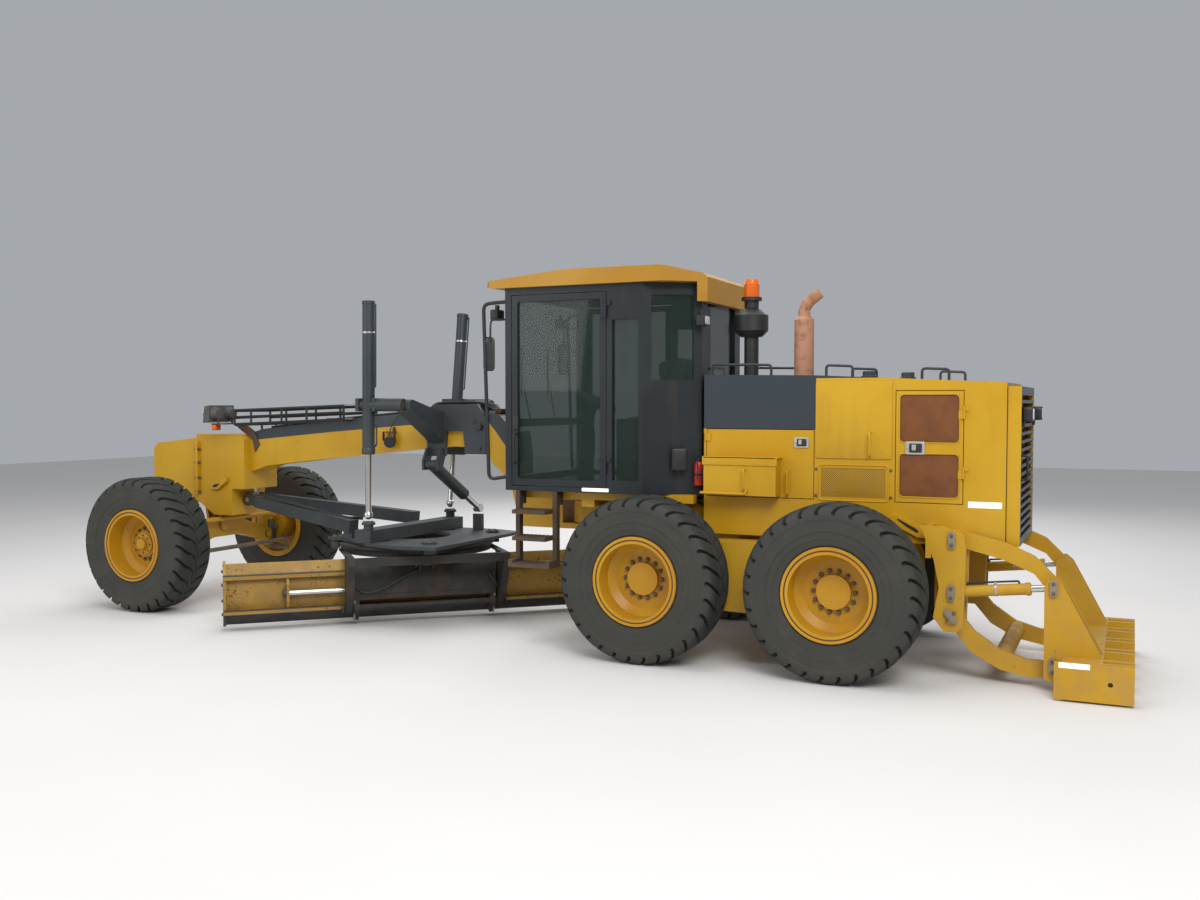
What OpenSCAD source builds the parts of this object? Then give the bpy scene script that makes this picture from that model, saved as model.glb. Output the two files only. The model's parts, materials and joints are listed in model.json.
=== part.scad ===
// Motor grader with a rear ripper linkage, parked with its blade turned and carried just clear of the floor.
// Lengths are in millimetres, angles in degrees. X points forward from the middle of the tandem,
// Y points to the machine's left and Z up from the floor, before one shift puts the origin under the middle.

/* [Layout] */
// Distance from the middle of the tandem to the front axle
wheelbase = 6156; // [6000:1:6300]
// Distance between the two axles of one tandem
tandem_spacing = 1536; // [1480:1:1600]
// Distance between wheel centres across the machine
track_w = 2090; // [2070:1:2120]
// Hitch pin ahead of the middle of the tandem
hitch_x = 1750; // [1730:1:1780]
// Clearance between parts that turn on one another
run_gap = 0.5; // [0.4:0.1:0.8]
// Clearance of a seated piece in its seat
seat_gap = 0.3; // [0.2:0.1:0.6]

/* [Wheels] */
// Outer diameter of a tyre
tyre_d = 1330; // [1290:1:1340]
// Width of a tyre
tyre_w = 445; // [420:1:450]
// Diameter of the rim where the tyre's bead sits
rim_seat_d = 635; // [620:1:650]
// Thickness of the tyre's wall
tyre_wall = 40; // [25:1:55]
// Diameter of a wheel spindle
spindle_d = 140; // [120:1:150]
// Depth of the wheel disc inside the outer rim edge
disc_depth = 215; // [150:1:230]

/* [Rear frame and hood] */
// Width of the hood and of the rear frame's side plates
hood_w = 1160; // [1120:1:1180]
// Height of the seam between rear frame and hood
deck_z = 1262; // [1250:1:1275]
// Bottom of the rear frame's side plates
frame_bottom_z = 1000; // [990:1:1010]
// Front face of the hood
hood_front_x = 430; // [425:1:440]
// Rear face of the hood
hood_rear_x = -1920; // [-1940:1:-1910]
// Height of the hood's top at its front
hood_front_z = 2300; // [2280:1:2320]
// Height of the hood's top at its rear
hood_rear_z = 2220; // [2200:1:2240]
// Thickness of the hood's walls and doors
hood_wall = 25; // [20:1:30]
// Gap around each hood door
door_gap = 6; // [5:0.5:8]

/* [Cab] */
// Underside of the cab
cab_floor_z = 1310; // [1305:1:1320]
// Height of the cab's walls
cab_wall_h = 1750; // [1700:1:1760]
// Width of the cab at its doors
cab_w = 1520; // [1490:1:1540]
// Front face of the cab
cab_front_x = 2200; // [2180:1:2220]
// Rear face of the cab
cab_rear_x = 480; // [470:1:490]
// Thickness of the cab's walls
cab_wall = 60; // [50:1:70]
// Thickness of the window glass
glass_t = 8; // [6:1:10]

/* [Front frame] */
// Width of the gooseneck
neck_w = 300; // [280:1:320]
// Width of the front head
head_w = 500; // [480:1:510]
// Rear face of the front head
head_rear_x = 5620; // [5600:1:5640]
// Front face of the front head
head_front_x = 6270; // [6250:1:6290]
// Front face of the push block
block_front_x = 6900; // [6860:1:6940]
// Saddle centre ahead of the middle of the tandem
saddle_x = 3655; // [3640:1:3670]

/* [Front axle] */
// Height of the lean pivots above the floor
lean_z = 600; // [595:1:610]
// Lean pivots from the middle of the machine
lean_y = 620; // [610:1:630]
// Kingpins from the middle of the machine
kingpin_y = 720; // [715:1:730]
// Height of the lean bar's pins above the lean pivots
lean_bar_h = 240; // [235:1:245]
// Length of the steering arms
steer_arm = 260; // [240:1:270]

/* [Drawbar and circle] */
// Drawbar ball ahead of the middle of the tandem
ball_x = 5700; // [5690:1:5710]
// Height of the drawbar ball
ball_z = 1050; // [1040:1:1060]
// Circle centre behind the drawbar ball
circle_back = 2106; // [2090:1:2120]
// Sideways swing of the drawbar as parked
drawbar_angle = 2.1; // [1.5:0.1:3]
// Outer diameter of the circle
circle_d = 1524; // [1500:1:1540]
// Underside of the drawbar's plate
plate_z = 745; // [740:1:750]

/* [Blade] */
// Turn of the blade as parked, from straight across
blade_turn = 46.1; // [44:0.1:48]
// Length of the blade
blade_l = 3660; // [3600:1:3680]
// Height of the blade
blade_h = 555; // [540:1:580]
// Inner radius of the blade's curve
blade_r = 413; // [405:1:420]
// Thickness of the blade's plate
blade_t = 22; // [19:1:25]
// Height of the cutting edge above the floor
blade_clear = 38; // [30:1:45]

/* [Ripper] */
// Fixed pins of the ripper linkage behind the middle of the tandem
ripper_pin_x = -1570; // [-1580:1:-1560]
// Height of the upper fixed pin
ripper_pin_z = 1070; // [1065:1:1075]
// Height between the upper and the lower pins
ripper_pin_h = 600; // [595:1:605]
// Sideways place of the ripper arms
ripper_arm_y = 510; // [505:1:515]
// Length of the ripper beam across the machine
ripper_w = 1960; // [1900:1:2000]

/* [Hidden] */
$fn = 48;
axle_z = tyre_d / 2;
origin_x = (block_front_x + ripper_pin_x - 1230) / 2;
origin_y = 212;

// Shared places worked out from the sizes above
side_y = hood_w / 2;
track_y = track_w / 2;
wheel_in_y = track_y - tyre_w / 2;
rear_axles = [tandem_spacing / 2, -tandem_spacing / 2];
rim_half = tyre_w / 2 - 12;
hub_in_y = track_y - 245;
case_out_y = hub_in_y - 15;
spindle_end_y = track_y + rim_half - disc_depth - 45;
engine_seat_z = frame_bottom_z + 120;
ripper_arm_in = side_y + 25;
ripper_arm_out = ripper_arm_in + 45;
ripper_cyl_y = ripper_arm_out + 50;
ripper_outer_y = ripper_cyl_y + 50;
ripper_beam_pin = [ripper_pin_x - 700, ripper_pin_z - 325];
ripper_low_z = ripper_pin_z - ripper_pin_h;
ripper_cyl_pin = [ripper_pin_x, ripper_pin_z - 400];
cab_half = cab_w / 2;
deck_half = cab_half - 120;
cab_top_z = cab_floor_z + cab_wall_h;
neck_half = neck_w / 2;
head_half = head_w / 2;

// Plain helpers: a block from its two corners' coordinates, rods along each axis and extruded outlines
module block(x, y, z) translate([x[0], y[0], z[0]]) cube([x[1] - x[0], y[1] - y[0], z[1] - z[0]]);
module rod_x(x, y, z, r) translate([x[0], y, z]) rotate([0, 90, 0]) cylinder(r = r, h = x[1] - x[0]);
module rod_y(x, y, z, r) translate([x, y[1], z]) rotate([90, 0, 0]) cylinder(r = r, h = y[1] - y[0]);
module rod_z(x, y, z, r) translate([x, y, z[0]]) cylinder(r = r, h = z[1] - z[0]);
module side_outline(y) translate([0, y[1], 0]) rotate([90, 0, 0]) linear_extrude(y[1] - y[0]) children();
module cross_outline(x) translate([x[0], 0, 0]) rotate([90, 0, 90]) linear_extrude(x[1] - x[0]) children();
module plan_outline(z) translate([0, 0, z[0]]) linear_extrude(z[1] - z[0]) children();
module both_sides() { children(); mirror([0, 1, 0]) children(); }
module on_side(side) { if (side > 0) children(); else mirror([0, 1, 0]) children(); }
module placed() translate([-origin_x, -origin_y, 0]) children();
// Rear frame: side plates, engine rails, cab deck, hitch nose and the brackets of the ripper linkage
frame_rear_x = hood_rear_x;
rail_y = [250, 330];
nose_r = 140;
nose_z = [980, 1180];
module bracket_outline() {
    x = ripper_pin_x;
    z = ripper_pin_z;
    polygon([[x + 230, z + 90], [x + 60, z + 90], [x - 80, z + 40], [x - 100, z - 60], [x - 85, z - 640],
        [x - 40, z - 690], [x + 50, z - 690], [x + 130, z - 590], [x + 90, z - 360], [x + 130, z - 160]]);
}
module rear_frame() placed() color("goldenrod") {
    difference() {
        union() {
            both_sides() {
                block([frame_rear_x, hood_front_x], [side_y - 25, side_y], [frame_bottom_z, deck_z]);
                side_outline(rail_y) polygon([[frame_rear_x, frame_bottom_z], [frame_rear_x, engine_seat_z],
                    [hood_front_x, engine_seat_z], [hood_front_x + 180, cab_floor_z - 70], [1560, cab_floor_z - 70],
                    [1560, nose_z[0]], [1300, nose_z[0] - 40], [hood_front_x, frame_bottom_z]]);
                block([500, 2150], [deck_half - 80, deck_half], [cab_floor_z - 70, cab_floor_z]);
                side_outline([side_y - 25, side_y + 20]) bracket_outline();
                side_outline([ripper_outer_y, ripper_outer_y + 25]) bracket_outline();
                for (pin = [[ripper_pin_x, ripper_pin_z], [ripper_pin_x, ripper_low_z], ripper_cyl_pin])
                    rod_y(pin[0], [side_y - 25, ripper_outer_y + 40], pin[1], 30);
                block([ripper_pin_x + 150, ripper_pin_x + 190], [side_y - 25, ripper_outer_y + 25],
                    [ripper_pin_z - 150, ripper_pin_z + 90]);
            }
            for (x = [[frame_rear_x, frame_rear_x + 100], [-1000, -850], [20, 150], [hood_front_x - 80, hood_front_x]])
                block(x, [-side_y, side_y], [frame_bottom_z, engine_seat_z]);
            for (x = [620, 1400]) block([x, x + 120], [-deck_half, deck_half], [cab_floor_z - 130, cab_floor_z - 70]);
            block([ripper_pin_x + 120, ripper_pin_x + 150], [-side_y, side_y], [ripper_low_z + 60, frame_bottom_z + 60]);
            both_sides() block([-170, 170], [340, 460], [axle_z + 120, engine_seat_z]);
            plan_outline(nose_z) polygon([[1480, -330], [1480, 330], [1540, 330], [1640, nose_r], [hitch_x, nose_r],
                [hitch_x, -nose_r], [1640, -nose_r], [1540, -330]]);
            rod_z(hitch_x, 0, nose_z, nose_r);
        }
        rod_z(hitch_x, 0, [nose_z[0] - 1, nose_z[1] + 1], 45 + run_gap);
        rod_y(0, [-600, 600], axle_z + 20, 170 + seat_gap);
    }
}

// Tandem: a chain case on each side, carried by the axle housing, with the four wheel spindles
case_y = [case_out_y - 210, case_out_y];
module tandem_cases() placed() color("goldenrod") {
    both_sides() {
        side_outline(case_y) {
            for (x = rear_axles) translate([x, axle_z]) circle(r = 235);
            polygon([[rear_axles[1], axle_z + 235], [-250, axle_z + 300], [250, axle_z + 300], [rear_axles[0], axle_z + 235],
                [rear_axles[0], axle_z - 235], [0, axle_z - 265], [rear_axles[1], axle_z - 235]]);
        }
        for (x = rear_axles) rod_y(x, [case_out_y, spindle_end_y], axle_z, spindle_d / 2);
        rod_y(0, [case_y[0] - 60, case_y[0]], axle_z + 20, 215);
    }
    rod_y(0, [-case_y[0], case_y[0]], axle_z + 20, 170);
}

// Engine, gearbox and radiator as one block between the rails
module engine_block() placed() color("dimgray") block([-1500, 180], [-240, 240], [engine_seat_z, 1900]);

// Hood: top, sides and front wall with openings for the doors and the grille, and seats for the two pipes on its top
front_door_x = [-490, hood_front_x - 20];
rear_door_x = [-1620, -1115];
door_z = [deck_z + 45, 1860];
rear_door_z = [deck_z + 45, 2165];
module hood_outline(inset) {
    polygon([[hood_rear_x + inset, deck_z], [hood_rear_x + inset, hood_rear_z - inset], [-500, hood_front_z - inset - 15],
        [hood_front_x - inset, hood_front_z - inset], [hood_front_x - inset, deck_z]]);
}
module hood_shell() placed() color("goldenrod") {
    hood_panels();
    both_sides() {
        for (z = front_hinge_z) fixed_knuckle(front_door_x[1], hinge_y, z + hinge_h, 9,
            [front_door_x[1], front_door_x[1] + 18], [side_y - 1, hinge_y]);
        for (z = rear_hinge_z) fixed_knuckle(rear_door_x[0], hinge_y, z + hinge_h, 9,
            [rear_door_x[0] - 40, rear_door_x[0]], [side_y - 1, hinge_y]);
    }
    for (z = grille_hinge_z) fixed_knuckle(grille_hinge[0], grille_hinge[1], z + grille_hinge_h, 10,
        [grille_hinge[0], hood_rear_x + 10], [grille_hinge[1] - 8, grille_hinge[1] + 8]);
}
module hood_panels() difference() {
    side_outline([-side_y, side_y]) hood_outline(0);
    side_outline([-side_y + hood_wall, side_y - hood_wall]) translate([0, -hood_wall]) hood_outline(hood_wall);
    block([hood_rear_x - 1, hood_rear_x + 200], [-500, 500], [deck_z - 1, hood_rear_z - 80]);
    both_sides() {
        block(front_door_x, [side_y - 100, side_y + 1], door_z);
        block(rear_door_x, [side_y - 100, side_y + 1], rear_door_z);
        block([-1045, -545], [side_y - 100, side_y + 1], [deck_z + 70, 1560]);
    }
    rod_z(stack[0], stack[1], [pipe_seat_z, hood_front_z + 1], stack_r + seat_gap);
    rod_z(intake[0], intake[1], [pipe_seat_z, hood_front_z + 1], intake_r + seat_gap);
}
pipe_seat_z = hood_front_z - 18;

// The fixed half of a hinge: a knuckle just above the door's own, on a strap back to the wall it hangs from
knuckle_h = 35;
module fixed_knuckle(x, y, z, r, strap_x, strap_y) {
    rod_z(x, y, [z + run_gap, z + knuckle_h], r);
    block(strap_x, strap_y, [z + run_gap, z + knuckle_h]);
}

// Engine doors: the front one carries the tool box, the rear one has two recessed screens
hinge_y = side_y + 10;
hinge_h = 60;
front_hinge_z = [1400, 1760];
rear_hinge_z = [1500, 1950];
module door_panel(x, z) {
    block([x[0] + door_gap, x[1] - door_gap], [side_y - hood_wall, side_y], [z[0] + door_gap, z[1] - door_gap]);
}
module engine_door_front(side) placed() color("goldenrod") on_side(side) {
    door_panel(front_door_x, door_z);
    block([-220, front_door_x[1] - 30], [side_y, side_y + 150], [1330, 1625]);
    for (z = front_hinge_z) {
        rod_z(front_door_x[1], hinge_y, [z, z + hinge_h], 9);
        block([front_door_x[1] - 40, front_door_x[1]], [side_y, hinge_y], [z, z + hinge_h]);
    }
}
module engine_door_rear(side) placed() color("goldenrod") on_side(side) {
    difference() {
        door_panel(rear_door_x, rear_door_z);
        block([-1585, -1150], [side_y - 8, side_y + 1], [1355, 1680]);
        block([-1585, -1150], [side_y - 8, side_y + 1], [1770, 2130]);
    }
    for (z = rear_hinge_z) {
        rod_z(rear_door_x[0], hinge_y, [z, z + hinge_h], 9);
        block([rear_door_x[0], rear_door_x[0] + 40], [side_y, hinge_y], [z, z + hinge_h]);
    }
}

// Rear grille: a door of the hood's full width with level bars
grille_x = [hood_rear_x - 100, hood_rear_x - door_gap];
grille_z = [frame_bottom_z + 10, hood_rear_z - 30];
grille_y = side_y - 12;
bar_pitch = 60;
grille_hinge = [grille_x[0] + 12, -side_y - 2];
grille_hinge_z = [1300, 1900];
grille_hinge_h = 80;
module rear_grille() placed() color("dimgray") {
    difference() {
        block(grille_x, [-grille_y, grille_y], grille_z);
        block([grille_x[0] + 40, grille_x[1] + 1], [-grille_y + 40, grille_y - 40], [grille_z[0] + 40, grille_z[1] - 40]);
        for (z = [grille_z[0] + 60 : bar_pitch : grille_z[1] - 90])
            block([grille_x[0] - 1, grille_x[1] + 1], [-grille_y + 60, grille_y - 60], [z, z + bar_pitch - 24]);
    }
    for (z = grille_hinge_z) {
        rod_z(grille_hinge[0], grille_hinge[1], [z, z + grille_hinge_h], 10);
        block([grille_hinge[0] - 8, grille_hinge[0] + 8], [grille_hinge[1], -grille_y + 5], [z, z + grille_hinge_h]);
    }
}

// Cab: six flat walls on a floor, with openings for the windows and the two doors
cab_shoulder_x = 900;
cab_rear_half = 500;
module cab_plan(inset) {
    rear_inset = inset * 1.15;
    polygon([[cab_rear_x + inset, -cab_rear_half + rear_inset / 2], [cab_shoulder_x, -cab_half + inset],
        [cab_front_x - inset, -cab_half + inset], [cab_front_x - inset, cab_half - inset],
        [cab_shoulder_x, cab_half - inset], [cab_rear_x + inset, cab_rear_half - rear_inset / 2]]);
}
door_x = [1230, 2140];
door_open_z = [cab_floor_z + 40, cab_top_z - 60];
side_window = [[940, 1180], [cab_floor_z + 110, 2760]];
rear_window = [[-360, 360], [2260, 2960]];
screen_upper = [[-640, 640], [1930, 2980]];
screen_lower = [[-640, 640], [1430, 1860]];
shoulder_angle = atan2(cab_half - cab_rear_half, cab_shoulder_x - cab_rear_x);
shoulder_l = norm([cab_half - cab_rear_half, cab_shoulder_x - cab_rear_x]);
// Places a piece along the slanting rear wall of the left side, with X along the wall and Y outwards
module on_shoulder() translate([cab_rear_x, cab_rear_half, 0]) rotate([0, 0, shoulder_angle]) children();
module cab_body() placed() color("darkslategray") {
    both_sides() for (z = cab_hinge_z) fixed_knuckle(cab_hinge_x, cab_hinge_y, z + cab_hinge_h, 10,
        [cab_hinge_x - 45, cab_hinge_x], [cab_half - 1, cab_hinge_y]);
    difference() {
        plan_outline([cab_floor_z, cab_top_z]) cab_plan(0);
        plan_outline([cab_floor_z + cab_wall, cab_top_z + 1]) cab_plan(cab_wall);
        both_sides() {
            block(door_x, [cab_half - 100, cab_half + 1], door_open_z);
            block(side_window[0], [cab_half - 100, cab_half + 1], side_window[1]);
            on_shoulder() block([70, shoulder_l - 70], [-100, 20], rear_window[1]);
        }
        block([cab_rear_x - 1, cab_rear_x + 100], rear_window[0], rear_window[1]);
        for (screen = [screen_upper, screen_lower])
            block([cab_front_x - 100, cab_front_x + 1], screen[0], screen[1]);
    }
}
module pane(x, y, z) {
    block([x[0] + seat_gap, x[1] - seat_gap], y, [z[0] + seat_gap, z[1] - seat_gap]);
}
module cab_glass() placed() color("lightblue", 0.4) {
    both_sides() {
        pane(side_window[0], [cab_half - 30, cab_half - 30 + glass_t], side_window[1]);
        on_shoulder() pane([70, shoulder_l - 70], [-30, -30 + glass_t], rear_window[1]);
    }
    block([cab_rear_x + 25, cab_rear_x + 25 + glass_t], [rear_window[0][0] + seat_gap, rear_window[0][1] - seat_gap],
        [rear_window[1][0] + seat_gap, rear_window[1][1] - seat_gap]);
    for (screen = [screen_upper, screen_lower])
        block([cab_front_x - 30, cab_front_x - 30 + glass_t], [screen[0][0] + seat_gap, screen[0][1] - seat_gap],
            [screen[1][0] + seat_gap, screen[1][1] - seat_gap]);
}

// Cab roof: a thick cap with a thin front lip, cut at the rear corners, with the cooler box under its rear edge
module cab_roof() placed() color("darkorange") intersection() {
    side_outline([-840, 840]) polygon([[2420, 3085], [2400, 3120], [1600, 3195], [720, 3190], [440, 3130], [410, 3100],
        [410, 2900], [cab_rear_x - seat_gap, 2900], [cab_rear_x - seat_gap, cab_top_z + seat_gap],
        [2300, cab_top_z + seat_gap]]);
    plan_outline([2800, 3300]) polygon([[2430, -680], [2330, -810], [720, -810], [400, -560],
        [400, 560], [720, 810], [2330, 810], [2430, 680]]);
}

// Cab door: a narrow frame round one pane, hung at its rear edge
door_frame = 55;
cab_hinge_x = door_x[0] + 4;
cab_hinge_y = cab_half + 14;
cab_hinge_h = 100;
cab_hinge_z = [door_open_z[0] + 120, door_open_z[1] - 220];
module cab_door(side) placed() color("darkslategray") on_side(side) {
    difference() {
        block([door_x[0] + door_gap, door_x[1] - door_gap], [cab_half - 45, cab_half],
            [door_open_z[0] + door_gap, door_open_z[1] - door_gap]);
        block([door_x[0] + door_gap + door_frame, door_x[1] - door_gap - door_frame], [cab_half - 46, cab_half + 1],
            [door_open_z[0] + door_gap + door_frame, door_open_z[1] - door_gap - door_frame]);
    }
    for (z = cab_hinge_z) {
        rod_z(cab_hinge_x, cab_hinge_y, [z, z + cab_hinge_h], 10);
        block([cab_hinge_x, cab_hinge_x + 50], [cab_half, cab_hinge_y], [z, z + cab_hinge_h]);
    }
}
module door_glass(side) placed() color("lightblue", 0.4) on_side(side)
    pane([door_x[0] + door_gap + door_frame, door_x[1] - door_gap - door_frame], [cab_half - 28, cab_half - 28 + glass_t],
        [door_open_z[0] + door_gap + door_frame, door_open_z[1] - door_gap - door_frame]);

// Seat, consoles and steering column on the cab's floor
module operator_station() placed() color("dimgray") {
    floor_z = cab_floor_z + cab_wall;
    block([900, 1250], [-180, 180], [floor_z, floor_z + 340]);
    block([840, 1330], [-250, 250], [floor_z + 340, floor_z + 480]);
    translate([900, 0, floor_z + 440]) rotate([0, -12, 0]) block([-60, 60], [-240, 240], [0, 650]);
    block([1750, 1830], [-90, 90], [floor_z, floor_z + 500]);
    translate([1790, 0, floor_z + 480]) rotate([0, -25, 0]) {
        cylinder(r = 35, h = 250);
        translate([0, 0, 240]) cylinder(r = 190, h = 30);
    }
    both_sides() block([900, 1300], [300, 400], [floor_z, floor_z + 560]);
}

// Steps to both doors, hung from the cab deck; the right ones stand further back, clear of the raised blade's end
step_x = [1720, 2080];
step_z = [690, 920, 1150];
right_step_back = 250;
module steps(x) {
    for (post = x) {
        block([post - 20, post + 20], [deck_half, deck_half + 60], [1190, cab_floor_z - 1]);
        block([post - 20, post + 20], [deck_half + 60, cab_half], [step_z[0] - 30, cab_floor_z - 1]);
        block([post - 20, post + 20], [cab_half, cab_half + 140], [step_z[0] - 30, step_z[0] + 30]);
    }
    for (z = step_z) block([x[0] + 20, x[1] - 20], [deck_half + 60, cab_half + 140], [z - 30, z]);
}
module steps_and_rails() placed() color("dimgray") {
    steps(step_x);
    mirror([0, 1, 0]) steps([for (x = step_x) x - right_step_back]);
}

// Exhaust: an upright silencer with an outlet that bends to the rear in two mitres
stack = [-300, 200];
stack_r = 80;
outlet_r = 48;
outlet_bend = [[0, 0, 0], [0, 50, 0], [-30, 110, 25], [-125, 190, 50]];
module outlet_disc(bend) translate([bend[0], 0, bend[1]]) rotate([0, -bend[2], 0]) cylinder(r = outlet_r, h = 4, $fn = 32);
module exhaust() placed() color("sienna") {
    rod_z(stack[0], stack[1], [pipe_seat_z + seat_gap, 2750], stack_r);
    translate([stack[0], stack[1], 2750]) cylinder(r1 = stack_r, r2 = outlet_r + 4, h = 30);
    translate([stack[0], stack[1], 2776]) for (i = [0 : len(outlet_bend) - 2]) hull() {
        outlet_disc(outlet_bend[i]);
        outlet_disc(outlet_bend[i + 1]);
    }
}

// Air intake: a pipe with the bowl and cap of the pre-cleaner
intake = [150, 200];
intake_r = 60;
module air_intake() placed() color("black") translate([intake[0], intake[1], 0]) {
    translate([0, 0, pipe_seat_z + seat_gap]) cylinder(r = intake_r, h = 344);
    translate([0, 0, 2620]) cylinder(r1 = 90, r2 = 140, h = 50);
    translate([0, 0, 2670]) cylinder(r = 140, h = 130);
    translate([0, 0, 2800]) cylinder(r1 = 140, r2 = intake_r, h = 60);
    translate([0, 0, 2860]) cylinder(r = intake_r, h = 60);
    translate([0, 0, 2920]) cylinder(r = 85, h = 30);
}
module beacon() placed() color("orangered") translate([intake[0], intake[1], 2950]) {
    cylinder(r = 65, h = 110);
    translate([0, 0, 110]) cylinder(r1 = 65, r2 = 50, h = 40);
}

// A tyre: one wall turned about the wheel's axle, open at the bead
module tyre_wall_outline() {
    r = tyre_d / 2;
    h = tyre_w / 2;
    seat = rim_seat_d / 2;
    t = tyre_wall;
    polygon([[seat, rim_half - 25], [seat + 55, h - 25], [(seat + r) / 2, h], [r - 75, h - 8], [r - 12, h - 45], [r, h - 80],
        [r, 80 - h], [r - 12, 45 - h], [r - 75, 8 - h], [(seat + r) / 2, -h], [seat + 55, 25 - h], [seat, 25 - rim_half],
        [seat, 85 - rim_half], [seat + 60, 25 - h + t], [r - 90, 10 - h + t], [r - 20 - t, 75 - h + t],
        [r - 20 - t, h - 75 - t], [r - 90, h - 10 - t], [seat + 60, h - 25 - t], [seat, rim_half - 85]]);
}
module wheel_at(x, side) translate([x, side * track_y, axle_z]) rotate([-90 * side, 0, 0]) children();
module tyre(x, side) placed() color("darkslategray") wheel_at(x, side) rotate_extrude($fn = 96) tyre_wall_outline();

// A rim: the well with its two flanges, the deep disc and the hub, turned about the axle; +Z points outwards
module rim(x, side, hub_depth) placed() color("goldenrod") wheel_at(x, side) difference() {
    seat = rim_seat_d / 2 - seat_gap;
    disc_z = rim_half - disc_depth;
    union() {
        rotate_extrude($fn = 96) {
            polygon([[seat - 18, -rim_half], [seat + 38, -rim_half], [seat + 38, 12 - rim_half], [seat, 24 - rim_half],
                [seat, rim_half - 24], [seat + 38, rim_half - 12], [seat + 38, rim_half], [seat - 18, rim_half]]);
            polygon([[120, disc_z - 25], [seat - 60, disc_z - 25], [seat - 10, disc_z + 25], [seat - 10, disc_z + 55],
                [seat - 75, disc_z], [120, disc_z]]);
        }
        translate([0, 0, -hub_depth]) cylinder(r = 150, h = hub_depth + disc_z);
        translate([0, 0, disc_z - 1]) cylinder(r = 130, h = 40);
    }
    translate([0, 0, -hub_depth - 1]) cylinder(r = spindle_d / 2 + run_gap, h = hub_depth + disc_z - 39);
}

// Front frame: hitch plates, gooseneck, head with its push block, axle hangers and the drawbar socket
hitch_plate_z = [[nose_z[0] - 55, nose_z[0] - 5], [nose_z[1] + 5, nose_z[1] + 55]];
axle_pin_z = 770;
hanger_x = [[wheelbase - 105, wheelbase - 75], [wheelbase + 75, wheelbase + 105]];
axle_half_x = 70;
ball_r = 60;
socket_x = ball_x + 90;
ball_pin_r = 20;
ball_pin_h = 160;
module neck_outline() polygon([
    [hitch_x, hitch_plate_z[1][1]], [2420, hitch_plate_z[1][1]], [2420, 1600], [2450, 1800], [2620, 1960], [2900, 2010],
    [saddle_x, 1970], [4590, 1890], [5450, 1800], [head_rear_x + 50, 1740], [head_rear_x + 50, 1330], [5400, 1420],
    [4590, 1510], [saddle_x, 1605], [3100, 1655], [2760, 1640], [2690, 1500], [2500, 1350], [2440, 1100],
    [2400, hitch_plate_z[0][0]], [hitch_x, hitch_plate_z[0][0]]]);
module front_frame() placed() color("goldenrod") difference() {
    union() {
        difference() {
            side_outline([-neck_half, neck_half]) neck_outline();
            block([hitch_x - 1, hitch_x + 200], [-neck_half - 1, neck_half + 1], [hitch_plate_z[0][1], hitch_plate_z[1][0]]);
        }
        for (z = hitch_plate_z) rod_z(hitch_x, 0, z, neck_half);
        rod_z(hitch_x, 0, [hitch_plate_z[0][0], hitch_plate_z[1][1]], 45);
        side_outline([-head_half, head_half]) polygon([[head_rear_x, ball_z + 120], [head_rear_x, 1690],
            [head_rear_x + 60, 1740], [head_front_x, 1740], [head_front_x, 1040], [6040, 890], [socket_x, 890],
            [socket_x, ball_z + 120]]);
        side_outline([-235, 235]) polygon([[head_front_x, 1040], [head_front_x, 1700], [block_front_x - 60, 1640],
            [block_front_x, 1580], [block_front_x, 1060], [block_front_x - 50, 1010], [head_front_x + 40, 1010]]);
        for (x = hanger_x) cross_outline(x) polygon([[-160, 1060], [160, 1060], [110, axle_pin_z - 60], [-110, axle_pin_z - 60]]);
        rod_x([hanger_x[0][0], hanger_x[1][1]], 0, axle_pin_z, 40);
        rod_x([ball_x - 10, socket_x + 1], 0, ball_z, ball_r + 12);
    }
    translate([ball_x, 0, ball_z]) sphere(r = ball_r + run_gap);
    rod_z(ball_x, 0, [ball_z, ball_z + ball_pin_h + 10], ball_pin_r + run_gap);
    block([ball_x - 100, ball_x + 48], [-125, 125], [ball_z - 30, ball_z + 30]);
}

// Front axle: one beam arched in the middle, forked at both ends for the lean pivots
lug_half = 45;
module front_axle() placed() color("goldenrod") difference() {
    union() {
        cross_outline([wheelbase - axle_half_x, wheelbase + axle_half_x]) polygon([[-lean_y + 40, lean_z - 60],
            [-lean_y + 40, lean_z + 70], [-200, axle_pin_z + 50], [200, axle_pin_z + 50], [lean_y - 40, lean_z + 70],
            [lean_y - 40, lean_z - 60], [200, axle_pin_z - 130], [-200, axle_pin_z - 130]]);
        both_sides() rod_x([wheelbase - axle_half_x, wheelbase + axle_half_x], lean_y, lean_z, 70);
    }
    rod_x([wheelbase - 100, wheelbase + 100], 0, axle_pin_z, 40 + seat_gap);
    both_sides() {
        rod_x([wheelbase - 100, wheelbase + 100], lean_y, lean_z, 30 + run_gap);
        block([wheelbase - lug_half - 5, wheelbase + lug_half + 5], [lean_y - 130, lean_y + 100], [lean_z - 120, lean_z + 160]);
    }
}

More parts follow.
